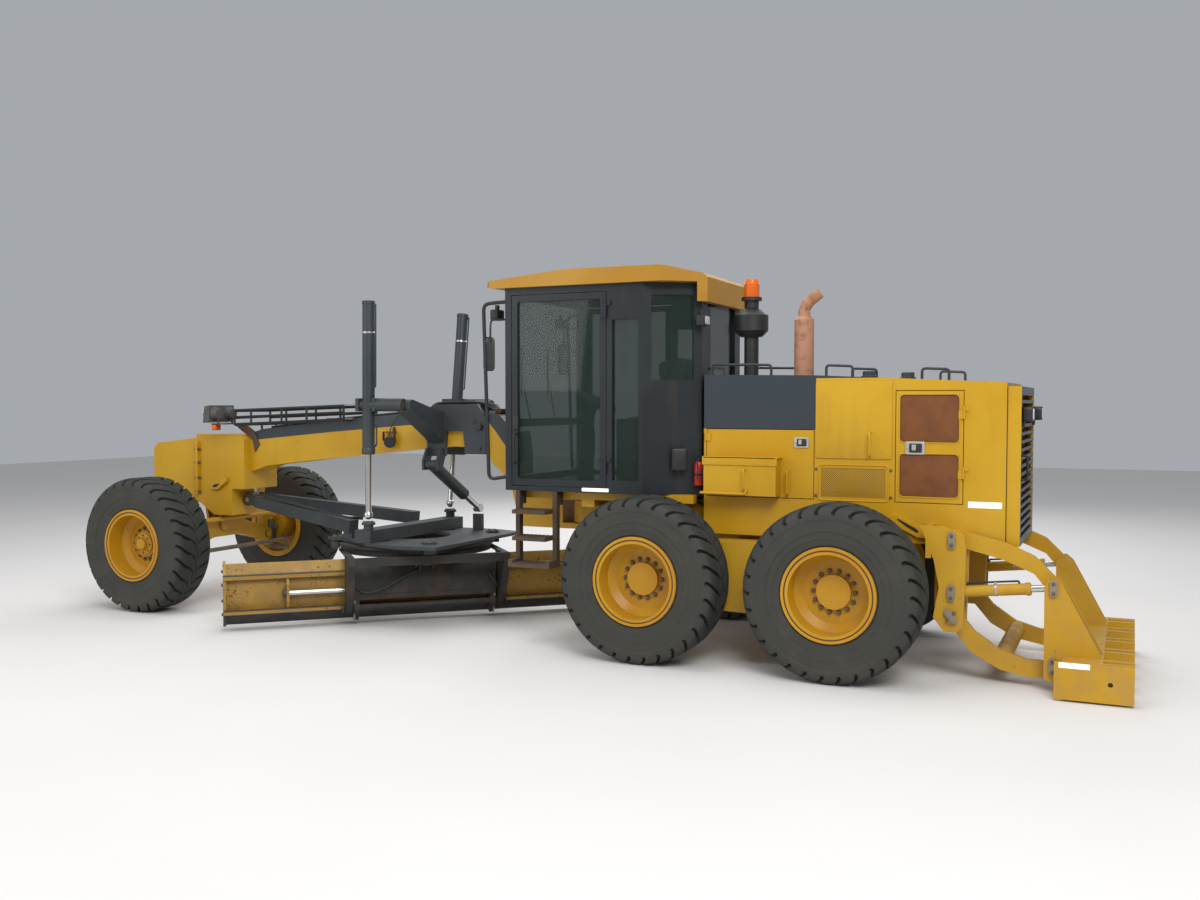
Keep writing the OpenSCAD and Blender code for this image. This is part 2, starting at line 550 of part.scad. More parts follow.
// Lean fork: hangs on the axle's pin, holds the kingpin between two ears and carries the lean bar's pin
kingpin_z = [470, 790];
ear_t = 40;
module lean_fork(side) placed() color("goldenrod") on_side(side) {
    rod_x([wheelbase - lug_half, wheelbase + lug_half], lean_y, lean_z, 42);
    rod_x([wheelbase - axle_half_x - 20, wheelbase + axle_half_x + 20], lean_y, lean_z, 30);
    rod_x([wheelbase - lug_half, wheelbase + lug_half], lean_y, lean_z + lean_bar_h, 42);
    rod_x([wheelbase - 190, wheelbase - lug_half], lean_y, lean_z + lean_bar_h, 20);
    cross_outline([wheelbase - lug_half, wheelbase + lug_half]) polygon([[lean_y - 40, lean_z], [lean_y - 42, lean_z + lean_bar_h],
        [lean_y + 42, lean_z + lean_bar_h], [kingpin_y - 66, kingpin_z[1]], [kingpin_y - 66, kingpin_z[0]],
        [lean_y + 10, kingpin_z[0]]]);
    for (z = [[kingpin_z[0], kingpin_z[0] + ear_t], [kingpin_z[1] - ear_t, kingpin_z[1]]]) {
        rod_z(wheelbase, kingpin_y, z, 60);
        block([wheelbase - lug_half, wheelbase + lug_half], [kingpin_y - 80, kingpin_y], z);
    }
    rod_z(wheelbase, kingpin_y, kingpin_z, 28);
}

// Steering knuckle: a sleeve on the kingpin with the wheel spindle and the steering arm
arm_z = [425, 460];
arm_plate_y = [kingpin_y + 62, hub_in_y - 5];
arm_end = [wheelbase - steer_arm, kingpin_y - 10];
module knuckle(side) placed() color("dimgray") on_side(side) difference() {
    union() {
        rod_z(wheelbase, kingpin_y, [kingpin_z[0] + ear_t + 2, kingpin_z[1] - ear_t - 2], 54);
        rod_y(wheelbase, [kingpin_y + 25, spindle_end_y], axle_z, spindle_d / 2);
        rod_y(wheelbase, [case_out_y - 18, case_out_y], axle_z, 80);
        block([wheelbase - 40, wheelbase + 40], arm_plate_y, [arm_z[0], axle_z]);
        plan_outline(arm_z) {
            polygon([[wheelbase + 40, arm_plate_y[1]], [wheelbase + 40, kingpin_y], [wheelbase - 60, kingpin_y - 60],
                [arm_end[0], arm_end[1] - 35], [arm_end[0], arm_end[1] + 35], [wheelbase - 100, arm_plate_y[1] - 20],
                [wheelbase - 60, arm_plate_y[1]]]);
            translate(arm_end) circle(r = 35);
        }
        rod_z(arm_end[0], arm_end[1], [arm_z[0], 600], 16);
    }
    rod_z(wheelbase, kingpin_y, [kingpin_z[0], kingpin_z[1]], 28 + run_gap);
}

// Lean bar across the tops of both forks, and the tie rod across both steering arms
bar_x = wheelbase - 160;
module lean_bar() placed() color("goldenrod") difference() {
    union() {
        for (side = [-1, 1]) rod_x([bar_x - 25, bar_x + 25], side * lean_y, lean_z + lean_bar_h, 38);
        rod_y(bar_x, [-lean_y + 30, lean_y - 30], lean_z + lean_bar_h, 25);
    }
    rod_x([bar_x - 26, bar_x + 26], lean_y, lean_z + lean_bar_h, 20 + run_gap);
    rod_x([bar_x - 26, bar_x + 26], -lean_y, lean_z + lean_bar_h, 20 + 2 * run_gap);
}
tie_z = 540;
tie_eye = 52;
tie_pivot_y = arm_end[1] - 60;
module tie_rod_end() placed() color("dimgray") difference() {
    union() {
        rod_z(arm_end[0], arm_end[1], [tie_z - 20, tie_z + 20], 32);
        block([arm_end[0] - 12, arm_end[0] + 12], [tie_pivot_y, arm_end[1]], [tie_z - 15, tie_z + 15]);
        rod_x([arm_end[0] - 12, arm_end[0] + 12], tie_pivot_y, tie_z, 15);
        rod_x([arm_end[0] - 32, arm_end[0] + 32], tie_pivot_y, tie_z, 8);
    }
    rod_z(arm_end[0], arm_end[1], [tie_z - 21, tie_z + 21], 16 + run_gap);
}
module tie_rod() placed() color("dimgray") difference() {
    union() {
        for (x = [[arm_end[0] - 30, arm_end[0] - 14], [arm_end[0] + 14, arm_end[0] + 30]]) {
            rod_x(x, tie_pivot_y, tie_z, 22);
            block(x, [tie_pivot_y - 70, tie_pivot_y], [tie_z - 22, tie_z + 22]);
        }
        block([arm_end[0] - 30, arm_end[0] + 30], [tie_pivot_y - 90, tie_pivot_y - 50], [tie_z - 22, tie_z + 22]);
        rod_y(arm_end[0], [-arm_end[1] + 45, tie_pivot_y - 60], tie_z, 22);
        rod_z(arm_end[0], -arm_end[1], [tie_z - 15, tie_z + 15], 61);
    }
    rod_x([arm_end[0] - 31, arm_end[0] + 31], tie_pivot_y, tie_z, 8 + run_gap);
    rod_z(arm_end[0], -arm_end[1], [tie_z - 16, tie_z + 16], 16 + tie_eye / 2);
}

// Head lamps: a pair of bowls in a sloped housing, on a bracket from the gooseneck's left side
lamp_x = [5800, 5870];
lamp_y = [200, 400];
lamp_z = 1960;
module headlights() placed() color("silver") {
    for (y = lamp_y) {
        translate([lamp_x[0], y, lamp_z]) rotate([0, 90, 0]) cylinder(r1 = 52, r2 = 72, h = lamp_x[1] - lamp_x[0]);
        rod_z(lamp_x[0] + 20, y, [lamp_z - 110, lamp_z - 40], 12);
    }
    side_outline([lamp_y[0] - 80, lamp_y[1] + 80]) polygon([[lamp_x[1] - 2, lamp_z - 80], [lamp_x[1] + 85, lamp_z - 95],
        [lamp_x[1] + 60, lamp_z + 75], [lamp_x[1] - 2, lamp_z + 85]]);
    block([lamp_x[0] - 110, lamp_x[0] + 60], [neck_half + 5, lamp_y[1] + 60], [lamp_z - 112, lamp_z - 100]);
    side_outline([neck_half + seat_gap, neck_half + 15]) polygon([[lamp_x[0] - 110, lamp_z - 101], [lamp_x[0] + 40, lamp_z - 101],
        [lamp_x[0] - 80, lamp_z - 185], [head_rear_x - 40, 1690], [head_rear_x - 70, 1560], [head_rear_x - 130, 1640],
        [head_rear_x - 60, 1780]]);
    block([lamp_x[0] + 10, lamp_x[0] + 58], [lamp_y[1] - 20, lamp_y[1] + 50], [lamp_z - 172, lamp_z - 111]);
}

// Drawbar as seen with the ball as its origin: X forward, turned by drawbar_angle as parked
module on_drawbar() translate([ball_x, 0, 0]) rotate([0, 0, -drawbar_angle]) children();
circle_x = ball_x - circle_back * cos(drawbar_angle);
circle_y = circle_back * sin(drawbar_angle);
beam_z = 900;
plate_t = 30;
cross_x = (saddle_x - ball_x) / cos(drawbar_angle);
lift_arm_y = 700;
lift_ball_z = 1030;
lift_ball_r = 42;
pad_gap = 20;
function lift_ball_y(side) = -cross_x * sin(drawbar_angle) + side * lift_arm_y * cos(drawbar_angle);
shift_x = saddle_x - 365;
shift_pin = [-580, 1000];
module drawbar_ball() placed() color("silver") {
    translate([ball_x, 0, ball_z]) {
        sphere(r = ball_r);
        rotate([0, 0, -drawbar_angle]) rod_y(0, [-119, 119], 0, 24);
        rod_z(0, 0, [0, ball_pin_h], ball_pin_r);
    }
}
beam_slope = atan2(ball_z - 10 - beam_z, 1500);
guide_r = circle_d / 2;
// Left half of the plate's outline, counted in circle radii from the circle's centre
plate_shape = [[-0.976, 0.971], [-0.517, 1.063], [0.008, 1.01], [0.555, 0.735], [0.927, 0.63]];
module drawbar() placed() color("darkslategray") {
    on_drawbar() {
        difference() {
            union() {
                both_sides() rod_y(0, [88, 116], ball_z, 66);
                both_sides() plan_outline([ball_z - 58, ball_z + 58]) polygon([[-20, 90], [-20, 114], [-160, 152], [-160, 90]]);
                translate([0, 0, ball_z]) rotate([0, -beam_slope, 0]) translate([0, 0, -ball_z]) both_sides()
                    plan_outline([ball_z - 60, ball_z + 60]) polygon([[-140, 92], [-140, 158], [-1740, 560], [-1740, 430]]);
            }
            rod_y(0, [-125, 125], ball_z, 24 + run_gap);
        }
        difference() {
            translate([-circle_back, 0, 0]) plan_outline([plate_z, plate_z + plate_t]) scale(guide_r) polygon(concat(plate_shape,
                [for (i = [len(plate_shape) - 1 : -1 : 0]) [plate_shape[i][0], -plate_shape[i][1]]]));
            rod_z(-circle_back, 0, [plate_z - 1, plate_z + plate_t + 1], 330);
            both_sides() rod_z(-circle_back + 60, 530, [plate_z - 1, plate_z + plate_t + 1], 130);
        }
        both_sides() block([-1740, -1640], [430, 540], [plate_z + plate_t, beam_z - 40]);
        block([cross_x - 90, cross_x + 90], [-lift_arm_y - 60, lift_arm_y + 60], [plate_z + plate_t, beam_z - 10]);
        for (a = [45 : 90 : 315]) translate([-circle_back, 0, 0]) rotate([0, 0, a]) {
            block([guide_r + run_gap, guide_r + 50], [-60, 60], [plate_z - 62, plate_z]);
            block([guide_r - 22, guide_r + 50], [-60, 60], [plate_z - 62, plate_z - 35 - run_gap]);
            block([guide_r - 60, guide_r + 50], [-60, 60], [plate_z + plate_t - 20, plate_z + plate_t + 15]);
        }
    }
    for (side = [-1, 1])
        rod_z(saddle_x, lift_ball_y(side), [beam_z - 60, lift_ball_z - lift_ball_r - pad_gap], 45);
    block([shift_x - 50, shift_x + 50], [shift_pin[0] - 25, shift_pin[0] + 25],
        [plate_z + plate_t - 5, shift_pin[1] - lift_ball_r - pad_gap]);
}

// Saddle over the gooseneck: two hanging plates a side joined over the top, a wing out to each yoke pipe, and
// the fork that holds a lift cylinder at the front of each pipe
yoke_y = 760;
yoke_z = 2050;
yoke_in = 72;
trunnion_r = 24;
pipe_r = 60;
fork_z = [yoke_z - 58, yoke_z + 62];
cast_x = [saddle_x - 915, saddle_x - 265];
cast_top_z = 2012;
shift_pivot = [250, 1480];
shift_ear_x = [[shift_x - 89, shift_x - 66], [shift_x + 66, shift_x + 89]];
module saddle() placed() color("darkslategray") difference() {
    union() {
        both_sides() {
            side_outline([neck_half + seat_gap, neck_half + 45]) polygon([[cast_x[1], 1560], [cast_x[1], 1900], [cast_x[1] - 70, cast_top_z + 45],
                [cast_x[0] + 90, cast_top_z + 45], [cast_x[0], 1930], [cast_x[0], 1585], [cast_x[0] + 220, 1585],
                [cast_x[0] + 245, 1800], [cast_x[1] - 215, 1800], [cast_x[1] - 195, 1560]]);
            cross_outline([cast_x[1] - 190, cast_x[1] - 12]) polygon([[neck_half + 20, 1660], [neck_half + 20, 1985], [neck_half + 110, 1990],
                [yoke_y - 50, yoke_z + 50], [yoke_y, yoke_z + 30], [yoke_y, yoke_z - 30], [yoke_y - 50, yoke_z - 52], [neck_half + 110, 1740]]);
            rod_x([saddle_x - 385, saddle_x - 95], yoke_y, yoke_z, pipe_r);
            block([saddle_x - 110, saddle_x + 110], [yoke_y - 112, yoke_y - 86], fork_z);
            for (x = [[saddle_x - 110, saddle_x - yoke_in - 4], [saddle_x + yoke_in + 4, saddle_x + 110]])
                block(x, [yoke_y - 112, yoke_y + 55], fork_z);
        }
        block([cast_x[0] + 100, cast_x[1] - 80], [-neck_half - 10, neck_half + 10], [cast_top_z, cast_top_z + 40]);
        for (x = shift_ear_x)
            cross_outline(x) polygon([[neck_half + 12, 1570], [neck_half + 12, 1640], [shift_pivot[0] - 10, 1640],
                [shift_pivot[0] + 55, shift_pivot[1] + 40], [shift_pivot[0] + 50, shift_pivot[1] - 50],
                [shift_pivot[0] - 30, shift_pivot[1] - 50]]);
    }
    both_sides() rod_x([saddle_x - 125, saddle_x + 120], yoke_y, yoke_z, trunnion_r + run_gap);
    rod_x([shift_x - 95, shift_x + 95], shift_pivot[0], shift_pivot[1], 25 + run_gap);
}

// Lift cylinders: each leans from its yoke to the ball on the drawbar's cross beam
barrel_r = 57;
barrel_up = 960;
barrel_down = 450;
rod_r = 28;
function lift_lean(side) = atan2(lift_ball_y(side) - side * yoke_y, yoke_z - lift_ball_z);
function lift_length(side) = norm([lift_ball_y(side) - side * yoke_y, yoke_z - lift_ball_z]);
module on_lift(side) translate([saddle_x, side * yoke_y, yoke_z]) rotate([lift_lean(side), 0, 0]) children();
module lift_barrel(side) placed() color("darkslategray") on_lift(side) difference() {
    union() {
        translate([0, 0, -barrel_down]) cylinder(r = barrel_r, h = barrel_up + barrel_down);
        rotate([-lift_lean(side), 0, 0]) rod_x([-108, 108], 0, 0, trunnion_r);
        rod_x([-yoke_in, yoke_in], 0, 0, 45);
    }
    translate([0, 0, -barrel_down - 1]) cylinder(r = rod_r + run_gap, h = barrel_up + barrel_down - 30);
}
module lift_rod(side) placed() color("silver") on_lift(side) {
    translate([0, 0, -lift_length(side)]) {
        sphere(r = lift_ball_r);
        cylinder(r = rod_r, h = lift_length(side) + 358);
    }
}

// Centre shift cylinder between the saddle's left cheek and the drawbar's right side
shift_reach = norm([shift_pivot[0] - shift_pin[0], shift_pivot[1] - shift_pin[1]]);
shift_angle = atan2(shift_pivot[0] - shift_pin[0], shift_pivot[1] - shift_pin[1]);
module on_shift() translate([shift_x, shift_pivot[0], shift_pivot[1]]) rotate([-shift_angle, 0, 0]) children();
module shift_barrel() placed() color("darkslategray") on_shift() difference() {
    union() {
        rod_x([-58, 58], 0, 0, 45);
        rod_x([-92, 92], 0, 0, 25);
        translate([0, 0, -640]) cylinder(r = 60, h = 630);
    }
    translate([0, 0, -641]) cylinder(r = 30 + run_gap, h = 560);
}
module shift_rod() placed() color("silver") on_shift() {
    translate([0, 0, -shift_reach + 20]) cylinder(r = 30, h = shift_reach - 370);
    translate([0, 0, -shift_reach]) rod_x([-38, 38], 0, 0, 42);
}

// Circle with the blade's frame hung below it; U runs along the blade to its left end, V forward of it
module on_circle() translate([circle_x, circle_y, 0]) rotate([0, 0, -blade_turn]) children();
ring_top = plate_z - 8;
ring_low = ring_top - 90;
tilt_v = -460;
tilt_z = 170;
arm_u = [685, 745];
module circle_arm_outline() polygon([[60, ring_low], [60, ring_low + 20], [-760, ring_low + 20], [-780, 600],
    [-620, 250], [tilt_v - 45, tilt_z - 20], [tilt_v, tilt_z - 50], [tilt_v + 45, tilt_z - 20], [tilt_v + 5, 250],
    [tilt_v + 5, 610], [-420, ring_low]]);
module circle_ring() {
    r = circle_d / 2;
    rotate_extrude($fn = 128) polygon([[r - 110, ring_low], [r - 32, ring_low], [r - 32, ring_top - 26], [r, ring_top - 26],
        [r, ring_top], [r - 110, ring_top]]);
}
module blade_circle() placed() color("dimgray") on_circle() difference() {
    union() {
        circle_ring();
        for (u = [arm_u, [-arm_u[1], -arm_u[0]]]) side_outline(u) circle_arm_outline();
        block([-760, -720], [-arm_u[1], arm_u[1]], [ring_low - 60, ring_low + 20]);
    }
    rod_y(tilt_v, [-arm_u[1] - 20, arm_u[1] + 20], tilt_z, 30 + run_gap);
}

// Blade: the curved plate with its cutting edge, end flanges, two back rails and the side shift rod
curve = [90, 330];
blade_u = [-blade_l / 2 - 13, blade_l / 2 - 13];
rail_v = -400;
rail_z = [[150, 190], [470, 510]];
slide_z = 330;
slide_v = -392;
slide_r = 40;
slide_rod_r = 25;
anchor_u = 1240;
module along_blade(u) side_outline(u) children();
// One sector of a ring about the blade's centre of curve, seen from the end
module curve_ring(r, a) translate(curve) intersection() {
    difference() {
        circle(r = r[1]);
        circle(r = r[0]);
    }
    polygon([[0, 0], 2 * r[1] * [cos(a[0]), sin(a[0])], 2 * r[1] * [cos((a[0] + a[1]) / 2), sin((a[0] + a[1]) / 2)],
        2 * r[1] * [cos(a[1]), sin(a[1])]]);
}
blade_low = blade_clear + 45;
blade_span = [180 - asin((blade_h + blade_clear - curve[1] - 5) / blade_r), 180 + asin((curve[1] - blade_low) / blade_r)];
module moldboard() placed() color("goldenrod") on_circle() {
    along_blade(blade_u) {
        curve_ring([blade_r, blade_r + blade_t], blade_span);
        polygon([[-200, blade_clear], [-218, blade_clear], [-296, 158], [-276, 158]]);
        for (z = rail_z) translate([rail_v, z[0]]) square([95, z[1] - z[0]]);
    }
    for (u = [[blade_u[0], blade_u[0] + 25], [blade_u[1] - 25, blade_u[1]]])
        along_blade(u) curve_ring([blade_r - 1, blade_r + 75], blade_span);
    rod_y(slide_v, [-190, anchor_u], slide_z, slide_rod_r);
    along_blade([anchor_u, anchor_u + 25]) polygon([[slide_v - 30, rail_z[0][1] + 60], [slide_v - 30, rail_z[1][0] - 60],
        [rail_v + 20, rail_z[1][0] + 5], [rail_v + 80, rail_z[1][0] + 5], [rail_v + 80, rail_z[0][1] - 5],
        [rail_v + 20, rail_z[0][1] - 5]]);
}

// Blade carriage: two crescent cheeks that hold the rails, the back sheet and the side shift cylinder's barrel
cheek_u = [620, 670];
crescent = [151, 208];
module blade_carriage() placed() color("dimgray") on_circle() difference() {
    union() {
        for (u = [cheek_u, [-cheek_u[1], -cheek_u[0]]]) along_blade(u) {
            curve_ring([448, 590], crescent);
            translate([tilt_v, tilt_z]) circle(r = 58);
        }
        along_blade([-cheek_u[1], cheek_u[1]]) curve_ring([580, 600], [crescent[0], 188]);
        rod_y(slide_v, [-750, 700], slide_z, slide_r);
        rod_y(tilt_v, [-arm_u[1] - 15, arm_u[1] + 15], tilt_z, 30);
    }
    along_blade([-cheek_u[1] - 1, cheek_u[1] + 1]) for (z = rail_z)
        translate([rail_v - run_gap, z[0] - run_gap]) square([120, z[1] - z[0] + 2 * run_gap]);
    rod_y(slide_v, [-720, 701], slide_z, slide_rod_r + run_gap);
    block([-640, -500], [-450, 450], [100, 300]);
}

// Ripper linkage: curved upper arms, crescent lower arms with their cross tube, the beam and two cylinders
pin_r = 30;
beam_pin = ripper_beam_pin;
beam_low_z = ripper_beam_pin[1] - ripper_pin_h;
module ripper_upper_arms() placed() color("goldenrod") both_sides() difference() {
    side_outline([ripper_arm_in, ripper_arm_out]) {
        translate([ripper_pin_x, ripper_pin_z]) circle(r = 60);
        translate(beam_pin) circle(r = 58);
        polygon([[ripper_pin_x, ripper_pin_z + 60], [ripper_pin_x - 350, ripper_pin_z - 20], [ripper_pin_x - 560, ripper_pin_z - 110],
            [beam_pin[0] - 55, beam_pin[1] + 20], [beam_pin[0] + 40, beam_pin[1] - 40], [ripper_pin_x - 560, ripper_pin_z - 240],
            [ripper_pin_x - 350, ripper_pin_z - 150], [ripper_pin_x, ripper_pin_z - 60]]);
    }
    for (pin = [[ripper_pin_x, ripper_pin_z], beam_pin]) rod_y(pin[0], [ripper_arm_in - 1, ripper_arm_out + 1], pin[1], pin_r + run_gap);
}
module ripper_lower_arms() placed() color("goldenrod") {
    both_sides() difference() {
        side_outline([ripper_arm_in, ripper_arm_out]) {
            translate([ripper_pin_x, ripper_low_z]) circle(r = 60);
            translate([beam_pin[0], beam_low_z]) circle(r = 58);
            polygon([[ripper_pin_x + 55, ripper_low_z - 30], [ripper_pin_x - 40, ripper_low_z + 45], [ripper_pin_x - 150, ripper_low_z - 90],
                [ripper_pin_x - 330, ripper_low_z - 215], [ripper_pin_x - 520, ripper_low_z - 270], [beam_pin[0], beam_low_z + 58],
                [beam_pin[0], beam_low_z - 58], [ripper_pin_x - 540, ripper_low_z - 400], [ripper_pin_x - 330, ripper_low_z - 360],
                [ripper_pin_x - 130, ripper_low_z - 250]]);
        }
        for (pin = [[ripper_pin_x, ripper_low_z], [beam_pin[0], beam_low_z]])
            rod_y(pin[0], [ripper_arm_in - 1, ripper_arm_out + 1], pin[1], pin_r + run_gap);
    }
    rod_y(ripper_pin_x - 340, [-ripper_arm_in, ripper_arm_in], ripper_low_z - 285, 65);
}
ripper_bar_x = [beam_pin[0] - 330, beam_pin[0] - 68];
ripper_bar_z = [beam_low_z - 130, beam_low_z + 130];
finger_x = beam_pin[0] - 530;
pocket_pitch = 430;
pocket_w = 75;
finger_t = 40;
module ripper_beam() placed() color("goldenrod") difference() {
    union() {
        block(ripper_bar_x, [-ripper_w / 2, ripper_w / 2], ripper_bar_z);
        for (y = [-2 : 2], s = [-1, 1]) {
            mid = y * pocket_pitch + s * (pocket_w + finger_t) / 2;
            block([finger_x, ripper_bar_x[0] + 1], [mid - finger_t / 2, mid + finger_t / 2], ripper_bar_z);
        }
        both_sides() {
            block([finger_x, beam_pin[0] - 20], [ripper_w / 2 - 25, ripper_w / 2], ripper_bar_z);
            for (y = [[side_y - 5, side_y + 20], [ripper_outer_y, ripper_outer_y + 25]]) side_outline(y)
                polygon([[beam_pin[0] - 60, beam_pin[1] + 30], [beam_pin[0] - 20, beam_pin[1] + 62], [beam_pin[0] + 40, beam_pin[1] + 60],
                    [beam_pin[0] + 62, beam_pin[1] + 20], [beam_pin[0] + 60, beam_low_z - 40], [beam_pin[0] + 20, beam_low_z - 65],
                    [beam_pin[0] - 25, beam_low_z - 65], [beam_pin[0] - 330, beam_low_z + 120]]);
            for (z = [beam_pin[1], beam_low_z]) rod_y(beam_pin[0], [side_y - 10, ripper_outer_y + 35], z, pin_r);
        }
    }
    rod_y(finger_x + 150, [-ripper_w / 2 - 1, ripper_w / 2 + 1], (ripper_bar_z[0] + ripper_bar_z[1]) / 2, 17);
}
ripper_cyl_reach = norm([ripper_cyl_pin[0] - beam_pin[0], ripper_cyl_pin[1] - beam_pin[1]]);
module on_ripper_cyl(y) translate([ripper_cyl_pin[0], y, ripper_cyl_pin[1]])
    rotate([0, -90 + atan2(beam_pin[1] - ripper_cyl_pin[1], ripper_cyl_pin[0] - beam_pin[0]), 0]) children();
module ripper_barrels() placed() color("goldenrod") both_sides() on_ripper_cyl(ripper_cyl_y) difference() {
    union() {
        translate([0, 0, 20]) cylinder(r = 42, h = 520);
        rotate([90, 0, 0]) translate([0, 0, -36]) cylinder(r = 50, h = 72);
    }
    translate([0, 0, 60]) cylinder(r = 25 + run_gap, h = 500);
    rotate([90, 0, 0]) translate([0, 0, -50]) cylinder(r = pin_r + run_gap, h = 100);
}
module ripper_rods() placed() color("silver") both_sides() on_ripper_cyl(ripper_cyl_y) {
    translate([0, 0, 330]) cylinder(r = 25, h = ripper_cyl_reach - 330 - pin_r - 3);
}

rear_frame();
tandem_cases();
engine_block();
hood_shell();
cab_body();
cab_roof();
cab_glass();
operator_station();
steps_and_rails();
exhaust();
air_intake();
beacon();
cab_door(1);  // cab_door_left
cab_door(-1);  // cab_door_right
door_glass(1);  // door_glass_left
door_glass(-1);  // door_glass_right
engine_door_front(1);  // engine_door_left_front
engine_door_rear(1);  // engine_door_left_rear
engine_door_front(-1);  // engine_door_right_front
engine_door_rear(-1);  // engine_door_right_rear
rear_grille();
tyre(rear_axles[0], 1);  // tyre_mid_left
tyre(rear_axles[0], -1);  // tyre_mid_right
tyre(rear_axles[1], 1);  // tyre_rear_left
tyre(rear_axles[1], -1);  // tyre_rear_right
tyre(wheelbase, 1);  // tyre_front_left
tyre(wheelbase, -1);  // tyre_front_right
rim(rear_axles[0], 1, 245);  // rim_mid_left
rim(rear_axles[0], -1, 245);  // rim_mid_right
rim(rear_axles[1], 1, 245);  // rim_rear_left
rim(rear_axles[1], -1, 245);  // rim_rear_right
rim(wheelbase, 1, 245);  // rim_front_left
rim(wheelbase, -1, 245);  // rim_front_right
front_frame();
front_axle();
saddle();
headlights();
lean_fork(1);  // lean_fork_left
lean_fork(-1);  // lean_fork_right
knuckle(1);  // knuckle_left
knuckle(-1);  // knuckle_right
lean_bar();
tie_rod_end();
tie_rod();
drawbar_ball();
drawbar();
blade_circle();
blade_carriage();
moldboard();
lift_barrel(1);  // lift_barrel_left
lift_barrel(-1);  // lift_barrel_right
lift_rod(1);  // lift_rod_left
lift_rod(-1);  // lift_rod_right
shift_barrel();
shift_rod();
ripper_upper_arms();
ripper_lower_arms();
ripper_beam();
ripper_barrels();
ripper_rods();
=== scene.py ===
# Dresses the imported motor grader: finishes for its solids, road tyres, wheel nuts, screens, rails, hoses and seat
import json
import math

import bpy
import bmesh
import numpy as np
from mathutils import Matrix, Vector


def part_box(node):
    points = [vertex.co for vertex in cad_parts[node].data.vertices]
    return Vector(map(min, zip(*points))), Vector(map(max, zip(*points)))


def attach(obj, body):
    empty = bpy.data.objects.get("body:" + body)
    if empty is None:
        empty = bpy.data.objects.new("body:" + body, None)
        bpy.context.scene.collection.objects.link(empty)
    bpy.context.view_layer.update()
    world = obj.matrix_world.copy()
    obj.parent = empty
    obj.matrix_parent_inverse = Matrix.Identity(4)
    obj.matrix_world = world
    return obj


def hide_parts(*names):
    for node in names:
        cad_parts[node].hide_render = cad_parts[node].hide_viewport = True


print("Loading the frame")
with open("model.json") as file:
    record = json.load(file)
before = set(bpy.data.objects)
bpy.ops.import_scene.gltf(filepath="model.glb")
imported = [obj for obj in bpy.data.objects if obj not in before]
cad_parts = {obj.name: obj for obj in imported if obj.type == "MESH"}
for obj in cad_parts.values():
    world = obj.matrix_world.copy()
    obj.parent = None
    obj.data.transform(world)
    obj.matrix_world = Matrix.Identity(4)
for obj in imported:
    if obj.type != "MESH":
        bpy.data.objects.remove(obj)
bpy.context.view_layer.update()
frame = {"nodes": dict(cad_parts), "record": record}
nodes = frame["nodes"]
slotOfNode = {part["node"]: part["material_slot"] for part in frame["record"]["subparts"]}


def boxOf(node):
    low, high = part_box(node)
    return np.array(low), np.array(high)


def middleOf(node):
    return sum(boxOf(node)) / 2


# Everything is placed from the middle of the four rear wheels, on the floor
tandemMiddle = sum(middleOf("rim_" + name) for name in ("mid_left", "mid_right", "rear_left", "rear_right")) / 4


def at(x, y, z):
    # A place measured from there, moved into the shared frame
    return np.array([x + tandemMiddle[0], y + tandemMiddle[1], z])


# Surfaces on grids

def gridFaces(rows, columns, closeRows=False, closeColumns=False):
    # Cell (i, j) joins grid points (i, j), (i, j+1), (i+1, j+1) and (i+1, j); a closed way wraps round to 0
    i, j = np.meshgrid(np.arange(rows - (not closeRows)), np.arange(columns - (not closeColumns)), indexing="ij")
    nextI, nextJ = (i + 1) % rows, (j + 1) % columns
    return np.stack([i * columns + j, i * columns + nextJ, nextI * columns + nextJ, nextI * columns + j],
                    -1).reshape(-1, 4)


def putPiece(name, shape, body, slot, finish=None, smooth=35, replaced=()):
    # Doubles at poles and seams are merged and the faces turned outwards before the piece is kept
    mesh = bpy.data.meshes.new(name)
    points, faces = shape
    mesh.from_pydata(np.asarray(points, float).reshape(-1, 3).tolist(), [], np.asarray(faces).tolist())
    work = bmesh.new()
    work.from_mesh(mesh)
    bmesh.ops.remove_doubles(work, verts=work.verts, dist=1e-5)
    bmesh.ops.dissolve_degenerate(work, edges=work.edges, dist=1e-6)
    bmesh.ops.recalc_face_normals(work, faces=work.faces)
    work.to_mesh(mesh)
    work.free()
    mesh.materials.append((finish or finishes[slot]).material)
    piece = bpy.data.objects.new(name, mesh)
    bpy.context.scene.collection.objects.link(piece)
    mesh.shade_smooth()
    mesh.set_sharp_from_angle(angle=math.radians(smooth))
    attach(piece, body)
    if replaced:
        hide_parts(*replaced)
    return piece


def together(*shapes):
    # Several (points, faces) shapes as one, with each shape's indices moved past those before it
    points = [np.asarray(shape[0], float).reshape(-1, 3) for shape in shapes]
    starts = np.cumsum([0] + [len(part) for part in points[:-1]])
    return np.concatenate(points), np.concatenate([shape[1] + start for shape, start in zip(shapes, starts)])


def repeated(shape, places):
    # One shape at many places: every point plus every place, as one array
    points, faces = np.asarray(shape[0], float).reshape(-1, 3), shape[1]
    places = np.asarray(places, float).reshape(-1, 3)
    allPoints = (points[None] + places[:, None]).reshape(-1, 3)
    allFaces = (faces[None] + (np.arange(len(places)) * len(points))[:, None, None]).reshape(-1, faces.shape[1])
    return allPoints, allFaces


def axesFor(direction):
    # Two unit vectors square to a direction, and the direction itself
    along = np.asarray(direction, float) / np.linalg.norm(direction)
    side = np.cross(along, [0.0, 0.0, 1.0] if abs(along[2]) < 0.9 else [0.0, 1.0, 0.0])
    side /= np.linalg.norm(side)
    return side, np.cross(along, side), along


